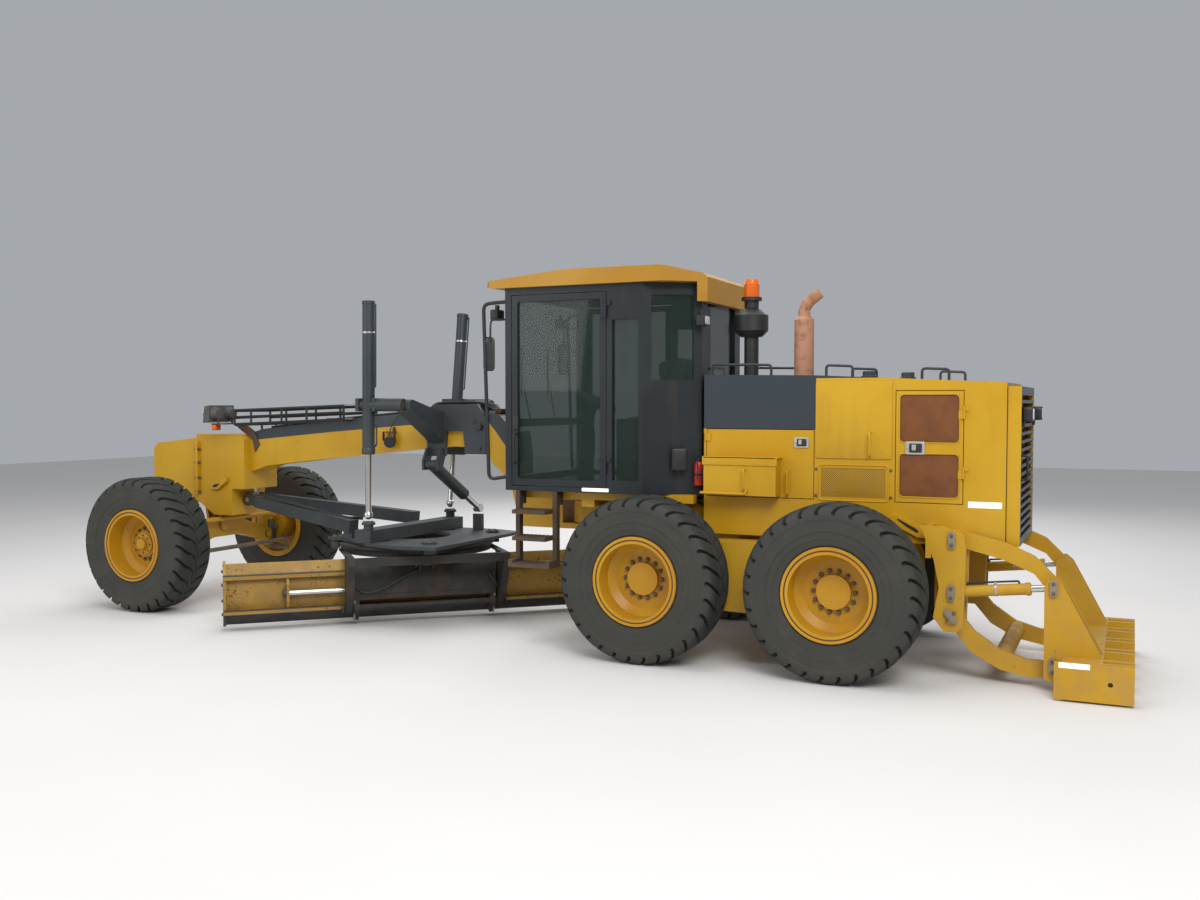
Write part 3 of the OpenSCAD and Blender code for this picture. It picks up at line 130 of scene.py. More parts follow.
def turned(outline, centre, direction, steps=32, start=0.0):
    # A lathe shape: radius times (cos, sin) round the axis, plus height along it
    side, up, along = axesFor(direction)
    radius, height = np.asarray(outline, float).T
    angle = start + np.arange(steps) * 2 * np.pi / steps
    ring = np.cos(angle)[:, None] * side + np.sin(angle)[:, None] * up
    points = radius[:, None, None] * ring[None] + height[:, None, None] * along + np.asarray(centre)
    return points.reshape(-1, 3), gridFaces(len(radius), steps, closeColumns=True)


def slab(centre, size, corner=0.01, edge=0.004, arc=5):
    # A block with rounded corners seen along its thinnest way and rounded edges round both faces
    size = np.asarray(size, float)
    thin = int(np.argmin(size))
    wide, high = [axis for axis in range(3) if axis != thin]
    corner = min(corner, size[wide] / 2 - 1e-4, size[high] / 2 - 1e-4)
    edge = min(edge, corner, size[thin] / 2 - 1e-4)
    quarter = np.linspace(0, np.pi / 2, arc)
    angle = np.concatenate([quarter + k * np.pi / 2 for k in range(4)])
    signA = np.repeat([1, -1, -1, 1], arc)
    signB = np.repeat([1, 1, -1, -1], arc)
    bend = np.linspace(0, np.pi / 2, 4)
    inset = np.concatenate([edge * (1 - np.sin(bend)), edge * (1 - np.cos(bend))])
    level = np.concatenate([-size[thin] / 2 + edge * (1 - np.cos(bend)),
                            size[thin] / 2 - edge * (1 - np.sin(bend))])
    points = np.zeros((len(inset) + 2, len(angle), 3))
    points[1:-1, :, wide] = signA * (size[wide] / 2 - corner) + (corner - inset)[:, None] * np.cos(angle)
    points[1:-1, :, high] = signB * (size[high] / 2 - corner) + (corner - inset)[:, None] * np.sin(angle)
    points[1:-1, :, thin] = level[:, None]
    points[0, :, thin], points[-1, :, thin] = -size[thin] / 2, size[thin] / 2
    return (points + np.asarray(centre)).reshape(-1, 3), gridFaces(len(points), len(angle), closeColumns=True)


def smoothPath(points, perSpan=8):
    # A smooth curve through every point: each span blends its two ends with their neighbours by cubic weights
    points = np.asarray(points, float)
    ends = np.concatenate([[2 * points[0] - points[1]], points, [2 * points[-1] - points[-2]]])
    t = np.linspace(0, 1, perSpan, endpoint=False)[None, :, None]
    a, b, c, d = (ends[k:len(ends) - 3 + k, None] for k in range(4))
    curve = 0.5 * (2 * b + (c - a) * t + (2 * a - 5 * b + 4 * c - d) * t ** 2 + (3 * b - a - 3 * c + d) * t ** 3)
    return np.concatenate([curve.reshape(-1, 3), points[-1:]])


def tube(path, radius, steps=12, closed=False):
    # A round section carried along a path, with each ring square to the path and both ends capped
    path = np.asarray(path, float)
    if closed:
        tangent = np.roll(path, -1, 0) - np.roll(path, 1, 0)
    else:
        tangent = np.gradient(path, axis=0)
    tangent /= np.linalg.norm(tangent, axis=1)[:, None]
    level = np.eye(3)[np.argmin(np.abs(tangent).sum(0))]
    side = np.cross(tangent, level)
    side /= np.linalg.norm(side, axis=1)[:, None]
    up = np.cross(tangent, side)
    angle = np.arange(steps) * 2 * np.pi / steps
    rings = path[:, None] + radius * (np.cos(angle)[None, :, None] * side[:, None]
                                      + np.sin(angle)[None, :, None] * up[:, None])
    if not closed:
        rings = np.concatenate([np.repeat(path[:1, None], steps, 1), rings, np.repeat(path[-1:, None], steps, 1)])
    return rings.reshape(-1, 3), gridFaces(len(rings), steps, closeRows=closed, closeColumns=True)


def bent(points, radius, perBend=6):
    # A path with straight runs and rounded corners: each corner is a quadratic curve between its two cuts
    points = np.asarray(points, float)
    before, corner, after = points[:-2], points[1:-1], points[2:]
    cutIn = corner + (before - corner) / np.linalg.norm(before - corner, axis=1)[:, None] * radius
    cutOut = corner + (after - corner) / np.linalg.norm(after - corner, axis=1)[:, None] * radius
    t = np.linspace(0, 1, perBend)[None, :, None]
    curve = (1 - t) ** 2 * cutIn[:, None] + 2 * t * (1 - t) * corner[:, None] + t ** 2 * cutOut[:, None]
    return np.concatenate([points[:1], curve.reshape(-1, 3), points[-1:]])

def disc(radius, height):
    # Outline of a round plate, from its middle out and back
    return [(0, 0), (radius, 0), (radius, height), (0, height)]


def chamfered(radius, side, topRadius, height):
    # Outline of a head or cap: upright to the height of its side, then sloping in to the radius of its top
    return [(0, 0), (radius, 0), (radius, side), (topRadius, height), (0, height)]


def hoop(inner, outer, height):
    # Outline of a plain ring
    return [(inner, 0), (outer, 0), (outer, height), (inner, height), (inner, 0)]


def roundedLoop(width, height, corner):
    # One ring of a slab with round corners, flattened into the upright plane along the machine
    loop = slab((0, 0, 0), (width, 0.02, height), corner, 0.001, arc=6)[0].reshape(-1, 24, 3)[4]
    loop[:, 1] = 0
    return loop


# Finishes

class Wire:
    # One socket that takes part in plain arithmetic
    def __init__(self, finish, socket):
        self.finish, self.socket = finish, socket

    def math(self, operation, first, second):
        return self.finish.add("ShaderNodeMath", {"operation": operation}, {0: first, 1: second})

    def __add__(self, other): return self.math("ADD", self, other)
    def __radd__(self, other): return self.math("ADD", other, self)
    def __sub__(self, other): return self.math("SUBTRACT", self, other)
    def __rsub__(self, other): return self.math("SUBTRACT", other, self)
    def __mul__(self, other): return self.math("MULTIPLY", self, other)
    def __rmul__(self, other): return self.math("MULTIPLY", other, self)
    def __gt__(self, other): return self.math("GREATER_THAN", self, other)
    def __lt__(self, other): return self.math("LESS_THAN", self, other)


class Finish:
    def __init__(self, name, **fixed):
        self.material = bpy.data.materials.new(name)
        self.material.use_nodes = True
        self.tree = self.material.node_tree
        self.shader = self.tree.nodes["Principled BSDF"]
        for socket, value in fixed.items():
            self.shader.inputs[socket.replace("_", " ")].default_value = value
        self.place = self.add("ShaderNodeTexCoord", out="Object")
        parts = self.add("ShaderNodeSeparateXYZ", sockets={0: self.place}, out=None)
        self.x, self.y, self.z = (Wire(self, socket) for socket in parts.outputs)
        facing = self.add("ShaderNodeTexCoord", out="Normal")
        parts = self.add("ShaderNodeSeparateXYZ", sockets={0: facing}, out=None)
        self.facingY, self.facingZ = (Wire(self, parts.outputs[axis]) for axis in "YZ")

    def add(self, kind, settings=None, sockets=None, out=0):
        node = self.tree.nodes.new(kind)
        for key, value in (settings or {}).items():
            setattr(node, key, value)
        for key, value in (sockets or {}).items():
            if isinstance(value, Wire):
                self.tree.links.new(value.socket, node.inputs[key])
            else:
                node.inputs[key].default_value = value
        return node if out is None else Wire(self, node.outputs[out])

    def noise(self, scale, detail=4.0, stretch=None):
        place = self.place
        if stretch:
            place = self.add("ShaderNodeMapping", sockets={"Vector": place, "Scale": stretch})
        return self.add("ShaderNodeTexNoise",
                        sockets={"Vector": place, "Scale": scale, "Detail": detail, "Roughness": 0.55})

    def between(self, value, low, high):
        # 0 below low, 1 above high, smooth between
        return self.add("ShaderNodeMapRange", {"interpolation_type": "SMOOTHSTEP"},
                        {"Value": value, "From Min": low, "From Max": high})

    def blend(self, share, first, second):
        return self.add("ShaderNodeMix", {"data_type": "RGBA"}, {0: share, 6: first, 7: second}, out=2)

    def most(self, first, second):
        return self.add("ShaderNodeMath", {"operation": "MAXIMUM"}, {0: first, 1: second})

    def size(self, value):
        return self.add("ShaderNodeMath", {"operation": "ABSOLUTE"}, {0: value})

    def through(self, value, stops):
        # Straight stretches from stop to stop: the first height plus each stretch's climb, as far as the value has
        # come along it
        height = stops[0][1]
        for (start, low), (end, high) in zip(stops[:-1], stops[1:]):
            height = self.add("ShaderNodeMapRange", {}, {"Value": value, "From Min": start, "From Max": end,
                                                         "To Min": 0.0, "To Max": high - low}) + height
        return height

    def limited(self, value):
        return self.add("ShaderNodeClamp", sockets={0: value})

    def feed(self, **sockets):
        for socket, value in sockets.items():
            target = self.shader.inputs[socket.replace("_", " ")]
            if isinstance(value, Wire):
                self.tree.links.new(value.socket, target)
            else:
                target.default_value = value
        return self

    def bump(self, height, strength, distance):
        self.feed(Normal=self.add("ShaderNodeBump",
                                  sockets={"Height": height, "Strength": strength, "Distance": distance}))
        return self


def rgb(red, green, blue):
    return (red, green, blue, 1.0)


ochre = rgb(0.53, 0.285, 0.007)
sunOchre = rgb(0.58, 0.335, 0.016)
slate = rgb(0.036, 0.047, 0.056)
redDust = rgb(0.30, 0.19, 0.115)
greyDust = rgb(0.16, 0.145, 0.125)
rustBrown = rgb(0.13, 0.045, 0.018)


def paintedFinish(name, colour, fade, dust=0.5, chips=0.35, rough=0.36, dark=None, soil=redDust):
    # Paint that fades in clouds; chips where a fine noise passes a coarse one; dust that thickens downwards and on
    # level faces
    finish = Finish(name, IOR=1.4)
    clouds = finish.noise(1.3, 3)
    grain = finish.noise(38, 5)
    base = finish.blend(finish.between(clouds, 0.35, 0.7), colour, fade)
    if dark is not None:
        base = finish.blend(dark(finish), base, slate)
    chipped = finish.between(grain * 0.75 + finish.noise(5, 2) * 0.25, 0.70 - 0.10 * chips, 0.73 - 0.10 * chips)
    base = finish.blend(chipped * 0.85, base, rustBrown)
    low = 1 - finish.between(finish.z, 0.15, 1.5)
    level = finish.between(finish.facingZ, 0.45, 0.95)
    patches = finish.between(finish.noise(7, 6), 0.30, 0.72)
    dusty = finish.limited((low * 0.65 + level * 0.50 + 0.06) * patches * dust)
    streaks = finish.between(finish.noise(9, 3, stretch=(1, 1, 0.12)), 0.55, 0.85) * 0.16
    base = finish.blend(streaks, base, rgb(0.16, 0.10, 0.05))
    base = finish.blend(dusty, base, soil)
    finish.feed(Base_Color=base,
                Roughness=finish.limited(rough + dusty * 0.5 + chipped * 0.3 + clouds * 0.10 - 0.05))
    return finish.bump(grain + finish.noise(260, 2) * 0.4, 0.16, 0.002)


def hoodBand(finish):
    # The dark panel over the hood's front half, and the thin line that runs on from it to the rear
    panel = (finish.z > hood["bandLow"]) * (finish.x > at(hood["bandRear"], 0, 0)[0])
    return finish.most(panel, (finish.z > hood["lineLow"]) * (finish.x > at(hood["lineRear"], 0, 0)[0]))


def grilleInside(finish):
    # Everything but the faces that look sideways
    return 1 - (finish.size(finish.facingY) > 0.6)


def neckTop(finish):
    # Dark above a line that follows the gooseneck's top a hand's width below it, and drops near the cab; the head
    # stays yellow
    line = finish.through(finish.x, [(at(x, 0, 0)[0], z) for x, z in neck["darkLine"]])
    return (finish.z > line) * (finish.x < at(neck["darkEnd"], 0, 0)[0])


def bladeWear(finish):
    # Bare along the cutting edge, and on the two rails: their height bands where the distance square to the blade
    # lies behind its back
    middleX, middleY = at(*bladeMarks["middle"], 0)[:2]
    squareX, squareY = bladeMarks["square"]
    square = (finish.x - middleX) * squareX + (finish.y - middleY) * squareY
    lower, upper = [finish.size(finish.z - height) < bladeMarks["railHalf"] for height in bladeMarks["railHeights"]]
    rails = lower + upper
    return finish.limited((finish.z < bladeMarks["edgeTop"]) + rails * (square < bladeMarks["railsBehind"]))


def steelFinish(name, colour, rough=0.34, metallic=0.9, rust=0.4, dust=0.3, soil=greyDust):
    # Bare steel with rust in clouds, dust on level faces and long fine scratches
    finish = Finish(name)
    clouds = finish.noise(6, 6)
    rusty = finish.between(clouds, 0.50, 0.66) * rust
    dusty = finish.between(finish.facingZ, 0.4, 0.95) * finish.between(finish.noise(11, 5), 0.3, 0.7) * dust
    scratch = finish.noise(60, 3, stretch=(1, 1, 6))
    base = finish.blend(rusty, colour, rustBrown)
    finish.feed(Base_Color=finish.blend(dusty, base, soil), Metallic=finish.limited(metallic - rusty - dusty),
                Roughness=finish.limited(rough + rusty * 0.4 + dusty * 0.4 + scratch * 0.15))
    return finish.bump(clouds + scratch * 0.3, 0.2, 0.002)


def rubberFinish(name):
    # Grey-green rubber, paler and browner on the side walls and where dust lies low on the wheel and in clouds
    finish = Finish(name, IOR=1.45)
    clouds = finish.noise(5, 6)
    fine = finish.noise(90, 4)
    wall = finish.between(finish.size(finish.facingY), 0.55, 0.85)
    low = 1 - finish.between(finish.z, 0.02, 0.30)
    dusty = finish.limited(finish.between(clouds, 0.38, 0.75) * 0.25 + wall * 0.38 + low * 0.30)
    base = finish.blend(dusty, rgb(0.024, 0.028, 0.025), rgb(0.066, 0.060, 0.048))
    finish.feed(Base_Color=base, Roughness=finish.limited(0.72 + fine * 0.2))
    return finish.bump(fine + clouds, 0.25, 0.002)


def glassFinish(name):
    # Clear green-tinted glass, milky where dust streaks pass a noise
    finish = Finish(name, IOR=1.45, Roughness=0.03)
    film = finish.between(finish.noise(2, 2), 0.45, 0.8) * 0.06 + 0.02
    finish.feed(Base_Color=finish.blend(film, rgb(0.018, 0.036, 0.029), rgb(0.20, 0.21, 0.19)),
                Alpha=finish.limited(film + 0.42))
    return finish


def plainFinish(name, colour, rough=0.5, metallic=0.0, vary=0.25, scale=14, glow=0.0):
    # One colour, lighter and darker in soft clouds, with a fine grain; a strip that throws light back glows a
    # little, a painted reflection
    finish = Finish(name, Metallic=metallic, Emission_Color=colour, Emission_Strength=glow)
    clouds = finish.noise(scale, 5)
    darker = tuple(channel * (1 - vary) for channel in colour[:3]) + (1.0,)
    lighter = tuple(min(1.0, channel * (1 + vary)) for channel in colour[:3]) + (1.0,)
    finish.feed(Base_Color=finish.blend(clouds, darker, lighter),
                Roughness=finish.limited(rough + clouds * 0.2 - 0.1))
    return finish.bump(finish.noise(scale * 14, 3), 0.15, 0.001)


def lampFinish(name):
    # Grey housings above one height, the rusty bracket and tray below it; rust spots where a noise passes a value
    finish = Finish(name)
    spots = finish.between(finish.noise(12, 5), 0.42, 0.62)
    bracket = finish.blend(spots, rgb(0.075, 0.050, 0.035), rgb(0.13, 0.055, 0.024))
    finish.feed(Base_Color=finish.blend(finish.z < 1.865, rgb(0.075, 0.074, 0.070), bracket),
                Roughness=finish.limited(0.5 + spots * 0.25))
    return finish.bump(finish.noise(70, 5), 0.3, 0.001)


def exhaustFinish(name):
    # Heat-stained pipe: salmon primer showing through brown rust
    finish = Finish(name)
    patch = finish.between(finish.noise(11, 6), 0.46, 0.70)
    base = finish.blend(patch, rgb(0.44, 0.215, 0.125), rgb(0.26, 0.115, 0.060))
    finish.feed(Base_Color=base, Roughness=finish.limited(0.62 + patch * 0.25))
    return finish.bump(finish.noise(70, 5), 0.4, 0.002)


def screenFinish(name, colour, pitch=0.011, rust=0.6):
    # Sheet metal with round holes: two crossed sine waves, dark where their product is high, the holes painted
    # near-black as painted shade of the space behind
    finish = Finish(name, Metallic=0.2)
    wave = 2 * math.pi / pitch
    across = finish.add("ShaderNodeMath", {"operation": "SINE"}, {0: finish.x * wave})
    upward = finish.add("ShaderNodeMath", {"operation": "SINE"}, {0: finish.z * wave})
    hole = finish.between(across * upward, 0.15, 0.45)
    rusty = finish.between(finish.noise(8, 5), 0.40, 0.65)
    base = finish.blend(rusty * rust, colour, rustBrown)
    # Near-black in the holes: painted shade
    finish.feed(Base_Color=finish.blend(hole * 0.8, base, rgb(0.02, 0.012, 0.008)), Roughness=0.7)
    return finish.bump(1 - hole, 0.6, 0.002)


hood = {"bandLow": 1.86, "bandRear": -0.50, "lineLow": 2.262, "lineRear": -1.50}
neck = {"darkLine": [(2.40, 1.50), (2.52, 1.63), (2.67, 1.82), (2.74, 1.90), (3.00, 1.885), (3.655, 1.852),
                     (4.59, 1.775), (5.50, 1.69)], "darkEnd": 5.615}
bladeMarks = {"middle": (3.5954, 0.0772), "square": (0.6934, -0.7206), "edgeTop": 0.155, "railsBehind": -0.350,
              "railHeights": (0.187, 0.507), "railHalf": 0.006}

print("Mixing the finishes")
finishes = {
    "frame_yellow": paintedFinish("frameYellow", ochre, sunOchre, dust=0.42, chips=0.5),
    "hood_paint": paintedFinish("hoodPaint", ochre, sunOchre, dust=0.12, chips=0.1, dark=hoodBand),
    "door_yellow": paintedFinish("doorYellow", ochre, sunOchre, dust=0.12, chips=0.15, dark=hoodBand),
    "neck_paint": paintedFinish("neckPaint", ochre, sunOchre, dust=0.30, chips=0.4, dark=neckTop),
    # The rims take a darker, deeper ochre than the frame's: painted shade of the wheel dishes
    "rim_yellow": paintedFinish("rimYellowShaded", rgb(0.47, 0.225, 0.006), rgb(0.54, 0.29, 0.010), dust=0.16, chips=0.5),
    "blade_yellow": paintedFinish("bladeYellow", rgb(0.36, 0.200, 0.030), rgb(0.44, 0.26, 0.04), dust=0.55,
                                  chips=1.1, soil=rgb(0.17, 0.125, 0.075), dark=bladeWear),
    "roof_orange": paintedFinish("roofOrange", rgb(0.40, 0.195, 0.014), rgb(0.46, 0.245, 0.035), dust=0.16,
                                 chips=0.3, rough=0.5),
    "cab_grey": paintedFinish("cabSlate", rgb(0.015, 0.019, 0.022), rgb(0.022, 0.028, 0.031), dust=0.08, chips=0.0,
                              soil=greyDust),
    "dark_steel": paintedFinish("linkSlate", rgb(0.034, 0.042, 0.048), rgb(0.046, 0.054, 0.058), dust=0.25,
                                chips=0.25, rough=0.42, soil=greyDust),
    "knuckle_grey": paintedFinish("knuckleGrey", rgb(0.09, 0.075, 0.05), rgb(0.13, 0.11, 0.07), dust=0.7, chips=0.5,
                                  rough=0.5),
    "step_steel": paintedFinish("stepSteel", rgb(0.060, 0.040, 0.026), rgb(0.095, 0.068, 0.045), dust=0.3,
                                chips=1.1, rough=0.6, soil=redDust),
    "grille_black": paintedFinish("grilleDoor", ochre, sunOchre, dust=0.1, chips=0.3, dark=grilleInside),
    "worn_steel": steelFinish("wornSteel", rgb(0.030, 0.029, 0.025), rough=0.55, metallic=0.25, rust=0.30,
                              dust=0.30),
    "bright_rod": steelFinish("brightRod", rgb(0.62, 0.62, 0.60), rough=0.14, metallic=1.0, rust=0.0, dust=0.0),
    "tyre_rubber": rubberFinish("tyreRubber"),
    "window_glass": glassFinish("windowGlass"),
    "engine_grey": plainFinish("engineGrey", rgb(0.10, 0.10, 0.10), 0.6),
    "seat_black": plainFinish("seatBlack", rgb(0.022, 0.022, 0.024), 0.8),
    "exhaust_rust": exhaustFinish("exhaustRust"),
    "intake_black": plainFinish("intakeBlack", rgb(0.018, 0.018, 0.019), 0.45),
    "beacon_amber": plainFinish("beaconAmber", rgb(0.70, 0.13, 0.006), 0.18),
    "lamp_housing": lampFinish("lampHousing"),
}
screenRed = screenFinish("screenRed", rgb(0.26, 0.088, 0.020), rust=0.4)
screenYellow = screenFinish("screenYellow", rgb(0.46, 0.25, 0.012), pitch=0.016, rust=0.0)
latchSilver = steelFinish("latchSilver", rgb(0.55, 0.54, 0.50), rough=0.35, rust=0.1, dust=0.0)
nutSteel = steelFinish("nutSteel", rgb(0.14, 0.110, 0.070), rough=0.6, metallic=0.1, rust=0.6)
clampSteel = steelFinish("clampSteel", rgb(0.50, 0.50, 0.48), rough=0.25, rust=0.0, dust=0.0)
edgeSteel = steelFinish("edgeSteel", rgb(0.055, 0.055, 0.052), rough=0.5, metallic=0.5, rust=0.25, dust=0.3)
bracketRust = steelFinish("bracketRust", rgb(0.085, 0.040, 0.020), rough=0.7, metallic=0.1, rust=0.8, dust=0.3)
keeperSteel = steelFinish("keeperSteel", rgb(0.26, 0.22, 0.15), rough=0.65, metallic=0.05, rust=0.30, dust=0.2)
hoseRubber = plainFinish("hoseRubber", rgb(0.020, 0.020, 0.020), 0.55)
seatCloth = plainFinish("seatCloth", rgb(0.030, 0.031, 0.034), 0.9, vary=0.35, scale=60)
# The strip's glow is a painted reflection
reflective = plainFinish("reflectiveStrip", rgb(0.98, 1.0, 0.80), 0.3, vary=0.03, glow=0.35)
extinguisherRed = plainFinish("extinguisherRed", rgb(0.45, 0.02, 0.015), 0.3)
lensClear = plainFinish("lensClear", rgb(0.55, 0.55, 0.52), 0.12, vary=0.1)

for node, piece in nodes.items():
    for materialSlot in piece.material_slots:
        materialSlot.material = finishes[slotOfNode[node]].material

# Road tyres
tyre = {"lugs": 30,
        "perLug": 16, "grooveDepth": 0.036, "grooveShare": 0.15, "lean": 1.15, "waveDepth": 0.010, "waveAt": 0.062,
        "outline": [(0.1855, 0.3175), (0.196, 0.362), (0.203, 0.368), (0.205, 0.380), (0.2095, 0.412),
                    (0.2130, 0.416), (0.2130, 0.424), (0.2125, 0.430), (0.2175, 0.466),
                    (0.2215, 0.470), (0.2215, 0.480), (0.2205, 0.484), (0.2225, 0.510),
                    (0.2215, 0.530), (0.2195, 0.549), (0.2222, 0.554), (0.2222, 0.566), (0.2175, 0.590),
                    (0.2115, 0.612), (0.2000, 0.632), (0.1840, 0.648), (0.1650, 0.6575), (0.1425, 0.6625)],
        "crown": [(0.120, 0.6640), (0.100, 0.6645), (0.080, 0.6648), (0.071, 0.6649), (0.0625, 0.6649),
                  (0.054, 0.6649), (0.040, 0.6650), (0.020, 0.6650), (0.007, 0.6650)],
        "inside": [(0.1255, 0.3175), (0.165, 0.40), (0.182, 0.50), (0.165, 0.585), (0.115, 0.612), (0.0, 0.616)]}


def tyreSurface(centre, side):
    # Angle round the wheel leans with the distance from the middle; the outline sinks inwards where a groove share
    # of each lug's pitch passes
    outer = np.array(tyre["outline"] + tyre["crown"])
    inner = np.array(tyre["inside"])
    flip = np.array([-1.0, 1.0])
    section = np.concatenate([outer, outer[::-1] * flip, inner[:-1] * flip, inner[-1:], inner[:-1][::-1]])
    y, r = section.T
    grooved = np.arange(len(section)) < 2 * len(outer)
    phase = (np.arange(tyre["lugs"] * tyre["perLug"]) / tyre["perLug"])
    inLug = np.minimum(phase % 1, 1 - phase % 1)
    cut = np.clip((tyre["grooveShare"] / 2 + 0.045 - inLug) / 0.045, 0, 1)
    reach = np.clip((r - 0.590) / 0.03, 0, 1) * grooved
    shoulder = np.clip((np.abs(y) - 0.020) / 0.08, 0.45, 1)
    wave = tyre["waveDepth"] * grooved * (np.abs(np.abs(y) - tyre["waveAt"]) < 0.004)
    depth = cut[:, None] * (tyre["grooveDepth"] * reach * shoulder)[None] + (1 - cut[:, None]) * wave[None]
    inward = np.stack([-y * 0.9, 0.42 - r], -1)
    inward /= np.linalg.norm(inward, axis=1)[:, None]
    inward[np.abs(y) < 0.15] = [0, -1]
    across = y[None] + depth * inward[None, :, 0]
    radius = r[None] + depth * inward[None, :, 1]
    lean = np.sign(y) * 0.5 + tyre["lean"] * np.abs(y) / 0.2 + 0.10 * np.sin(np.abs(y) / 0.2 * 6)
    lean = np.where(grooved, lean * np.clip((r - 0.45) / 0.15, 0, 1), 0)
    angle = (phase[:, None] + lean[None] * np.clip(np.abs(y) / 0.02, 0, 1)) * 2 * np.pi / tyre["lugs"]
    points = np.stack([centre[0] + radius * np.sin(angle), centre[1] + side * across,
                       centre[2] + radius * np.cos(angle)], -1)
    return points, gridFaces(len(phase), len(section), closeRows=True, closeColumns=True)


wheels = {"mid_left": 1, "mid_right": -1, "rear_left": 1, "rear_right": -1, "front_left": 1, "front_right": -1}
print("Turning the tyres")
for wheel, side in wheels.items():
    centre = middleOf("tyre_" + wheel)
    points, faces = tyreSurface(centre, side)
    putPiece("tyre_tread_" + wheel, (points, faces), "wheel_" + wheel, "tyre_rubber", smooth=32,
             replaced=["tyre_" + wheel])

# Wheel nuts with their studs, a small cap at the middle, and the bead, seam and gap rings in each dish
nuts = {"count": 14, "ring": 0.158, "across": 0.019, "height": 0.026, "dish": 0.0045, "flange": 0.228,
        "cap": 0.0435}
print("Fitting the wheel nuts")
for wheel, side in wheels.items():
    centre = middleOf("rim_" + wheel)
    outward = np.array([0.0, side, 0.0])
    face = centre + outward * nuts["dish"]
    angle = (np.arange(nuts["count"]) + 0.5) * 2 * np.pi / nuts["count"]
    places = face + nuts["ring"] * np.stack([np.sin(angle), np.zeros_like(angle), np.cos(angle)], -1)
    hexagon = chamfered(nuts["across"], nuts["height"] * 0.8, nuts["across"] * 0.82, nuts["height"])
    stud = chamfered(0.009, nuts["height"] + 0.008, 0.007, nuts["height"] + 0.011)
    points, faces = together(repeated(turned(hexagon, (0, 0, 0), outward, 6), places),
                             repeated(turned(stud, (0, 0, 0), outward, 10), places), turned(
        chamfered(0.010, 0.003, 0.006, 0.006), centre + outward * nuts["cap"], outward, 12))
    bead = turned([(0.331, 0), (0.3335, 0.0045), (0.342, 0.0070), (0.351, 0.0055), (0.3548, 0.0005),
                   (0.3548, -0.006), (0.331, -0.006), (0.331, 0)], centre + outward * nuts["flange"], outward, 96)
    seam = turned([(0.238, 0), (0.2405, 0.004), (0.247, 0.004), (0.250, 0), (0.238, 0)], face - outward * 0.0012,
                  outward, 96)
    gap = turned([(0.322, 0), (0.322, 0.0018), (0.3315, 0.0018), (0.3315, 0), (0.322, 0)],
                 centre + outward * nuts["flange"], outward, 96)
    putPiece("rim_bead_" + wheel, bead, "wheel_" + wheel, "rim_yellow")
    putPiece("rim_seams_" + wheel, together(seam, gap), "wheel_" + wheel, "rim_yellow", bracketRust)
    putPiece("wheel_nuts_" + wheel, (points, faces), "wheel_" + wheel, "bright_rod", nutSteel, smooth=30)

# Front hubs: a stepped cap with its own ring of small bolts
hub = {"face": 0.0425, "steps": [(0, 0), (0.108, 0), (0.110, 0.004), (0.110, 0.022), (0.104, 0.026), (0.062, 0.030),
                                 (0.058, 0.036), (0.056, 0.062), (0.048, 0.070), (0.020, 0.073), (0, 0.073)],
       "ring": 0.086, "count": 8}
for wheel, side in (("front_left", 1), ("front_right", -1)):
    outward = np.array([0.0, side, 0.0])
    face = middleOf("rim_" + wheel) + outward * hub["face"]
    angle = np.arange(hub["count"]) * 2 * np.pi / hub["count"]
    places = face + outward * 0.027 + hub["ring"] * np.stack([np.sin(angle), np.zeros_like(angle), np.cos(angle)],
                                                             -1)
    putPiece("hub_cap_" + wheel, turned(hub["steps"], face, outward, 48), "wheel_" + wheel, "rim_yellow")
    putPiece("hub_cap_bolts_" + wheel,
             repeated(turned(chamfered(0.009, 0.009, 0.007, 0.011), (0, 0, 0), outward, 6), places),
             "wheel_" + wheel, "bright_rod", nutSteel, smooth=30)


def mirrored(shape):
    # The same shape on the other side: each point reflected about the machine's middle
    points = np.array(shape[0], float)
    points[:, 1] = 2 * tandemMiddle[1] - points[:, 1]
    return points, shape[1]


def pair(*shapes):
    # Shapes and their mirror images
    return together(*shapes, *[mirrored(shape) for shape in shapes])


def onSide(shape, side):
    # The shape itself on the left, its mirror image on the right
    return shape if side > 0 else mirrored(shape)


def flatPlate(outline, low, high, bevel=0.003, across=1):
    # A flat plate: its outline at two depths, drawn towards its middle by the bevel at both faces and closed
    # there; across is the axis it is thick in
    outline = np.asarray(outline, float)
    middle = outline.mean(0)
    toward = (middle - outline) / np.linalg.norm(middle - outline, axis=1)[:, None]
    rings = [outline * 0 + middle, outline + toward * bevel, outline, outline, outline + toward * bevel,
             outline * 0 + middle]
    points = np.zeros((6, len(outline), 3))
    points[..., [axis for axis in range(3) if axis != across]] = np.array(rings)
    points[..., across] = np.array([low, low, low + bevel, high - bevel, high, high])[:, None]
    return points.reshape(-1, 3) + at(0, 0, 0), gridFaces(6, len(outline), closeColumns=True)


def rod(places, bend, radius, steps=10):
    # A round rod or pipe bent round the corners of its route; places in metres from the tandem's middle
    return tube(bent([at(*place) for place in places], bend), radius, steps)


def handle(x, y, low, high, out, radius, bend=0.02):
    # An upright grab handle on a wall at y, its two feet bent into the wall
    return rod([(x, y - 0.004, low), (x, y + out, low), (x, y + out, high), (x, y - 0.004, high)], bend, radius)


def hose(route, radius=0.013, steps=10):
    # A hose that curves smoothly through every place on its route
    return tube(smoothPath([at(*place) for place in route]), radius, steps)


def boltHeads(places, direction, across=0.014, height=0.011):
    # Six-sided heads on round washers, one shape repeated at every place
    washer = disc(across * 1.35, 0.003)
    head = [(0, 0.002), (across, 0.002), (across, height), (across * 0.8, height + 0.002), (0, height + 0.002)]
    return together(repeated(turned(washer, (0, 0, 0), direction, 12), places),
                    repeated(turned(head, (0, 0, 0), direction, 6, start=0.3), places))


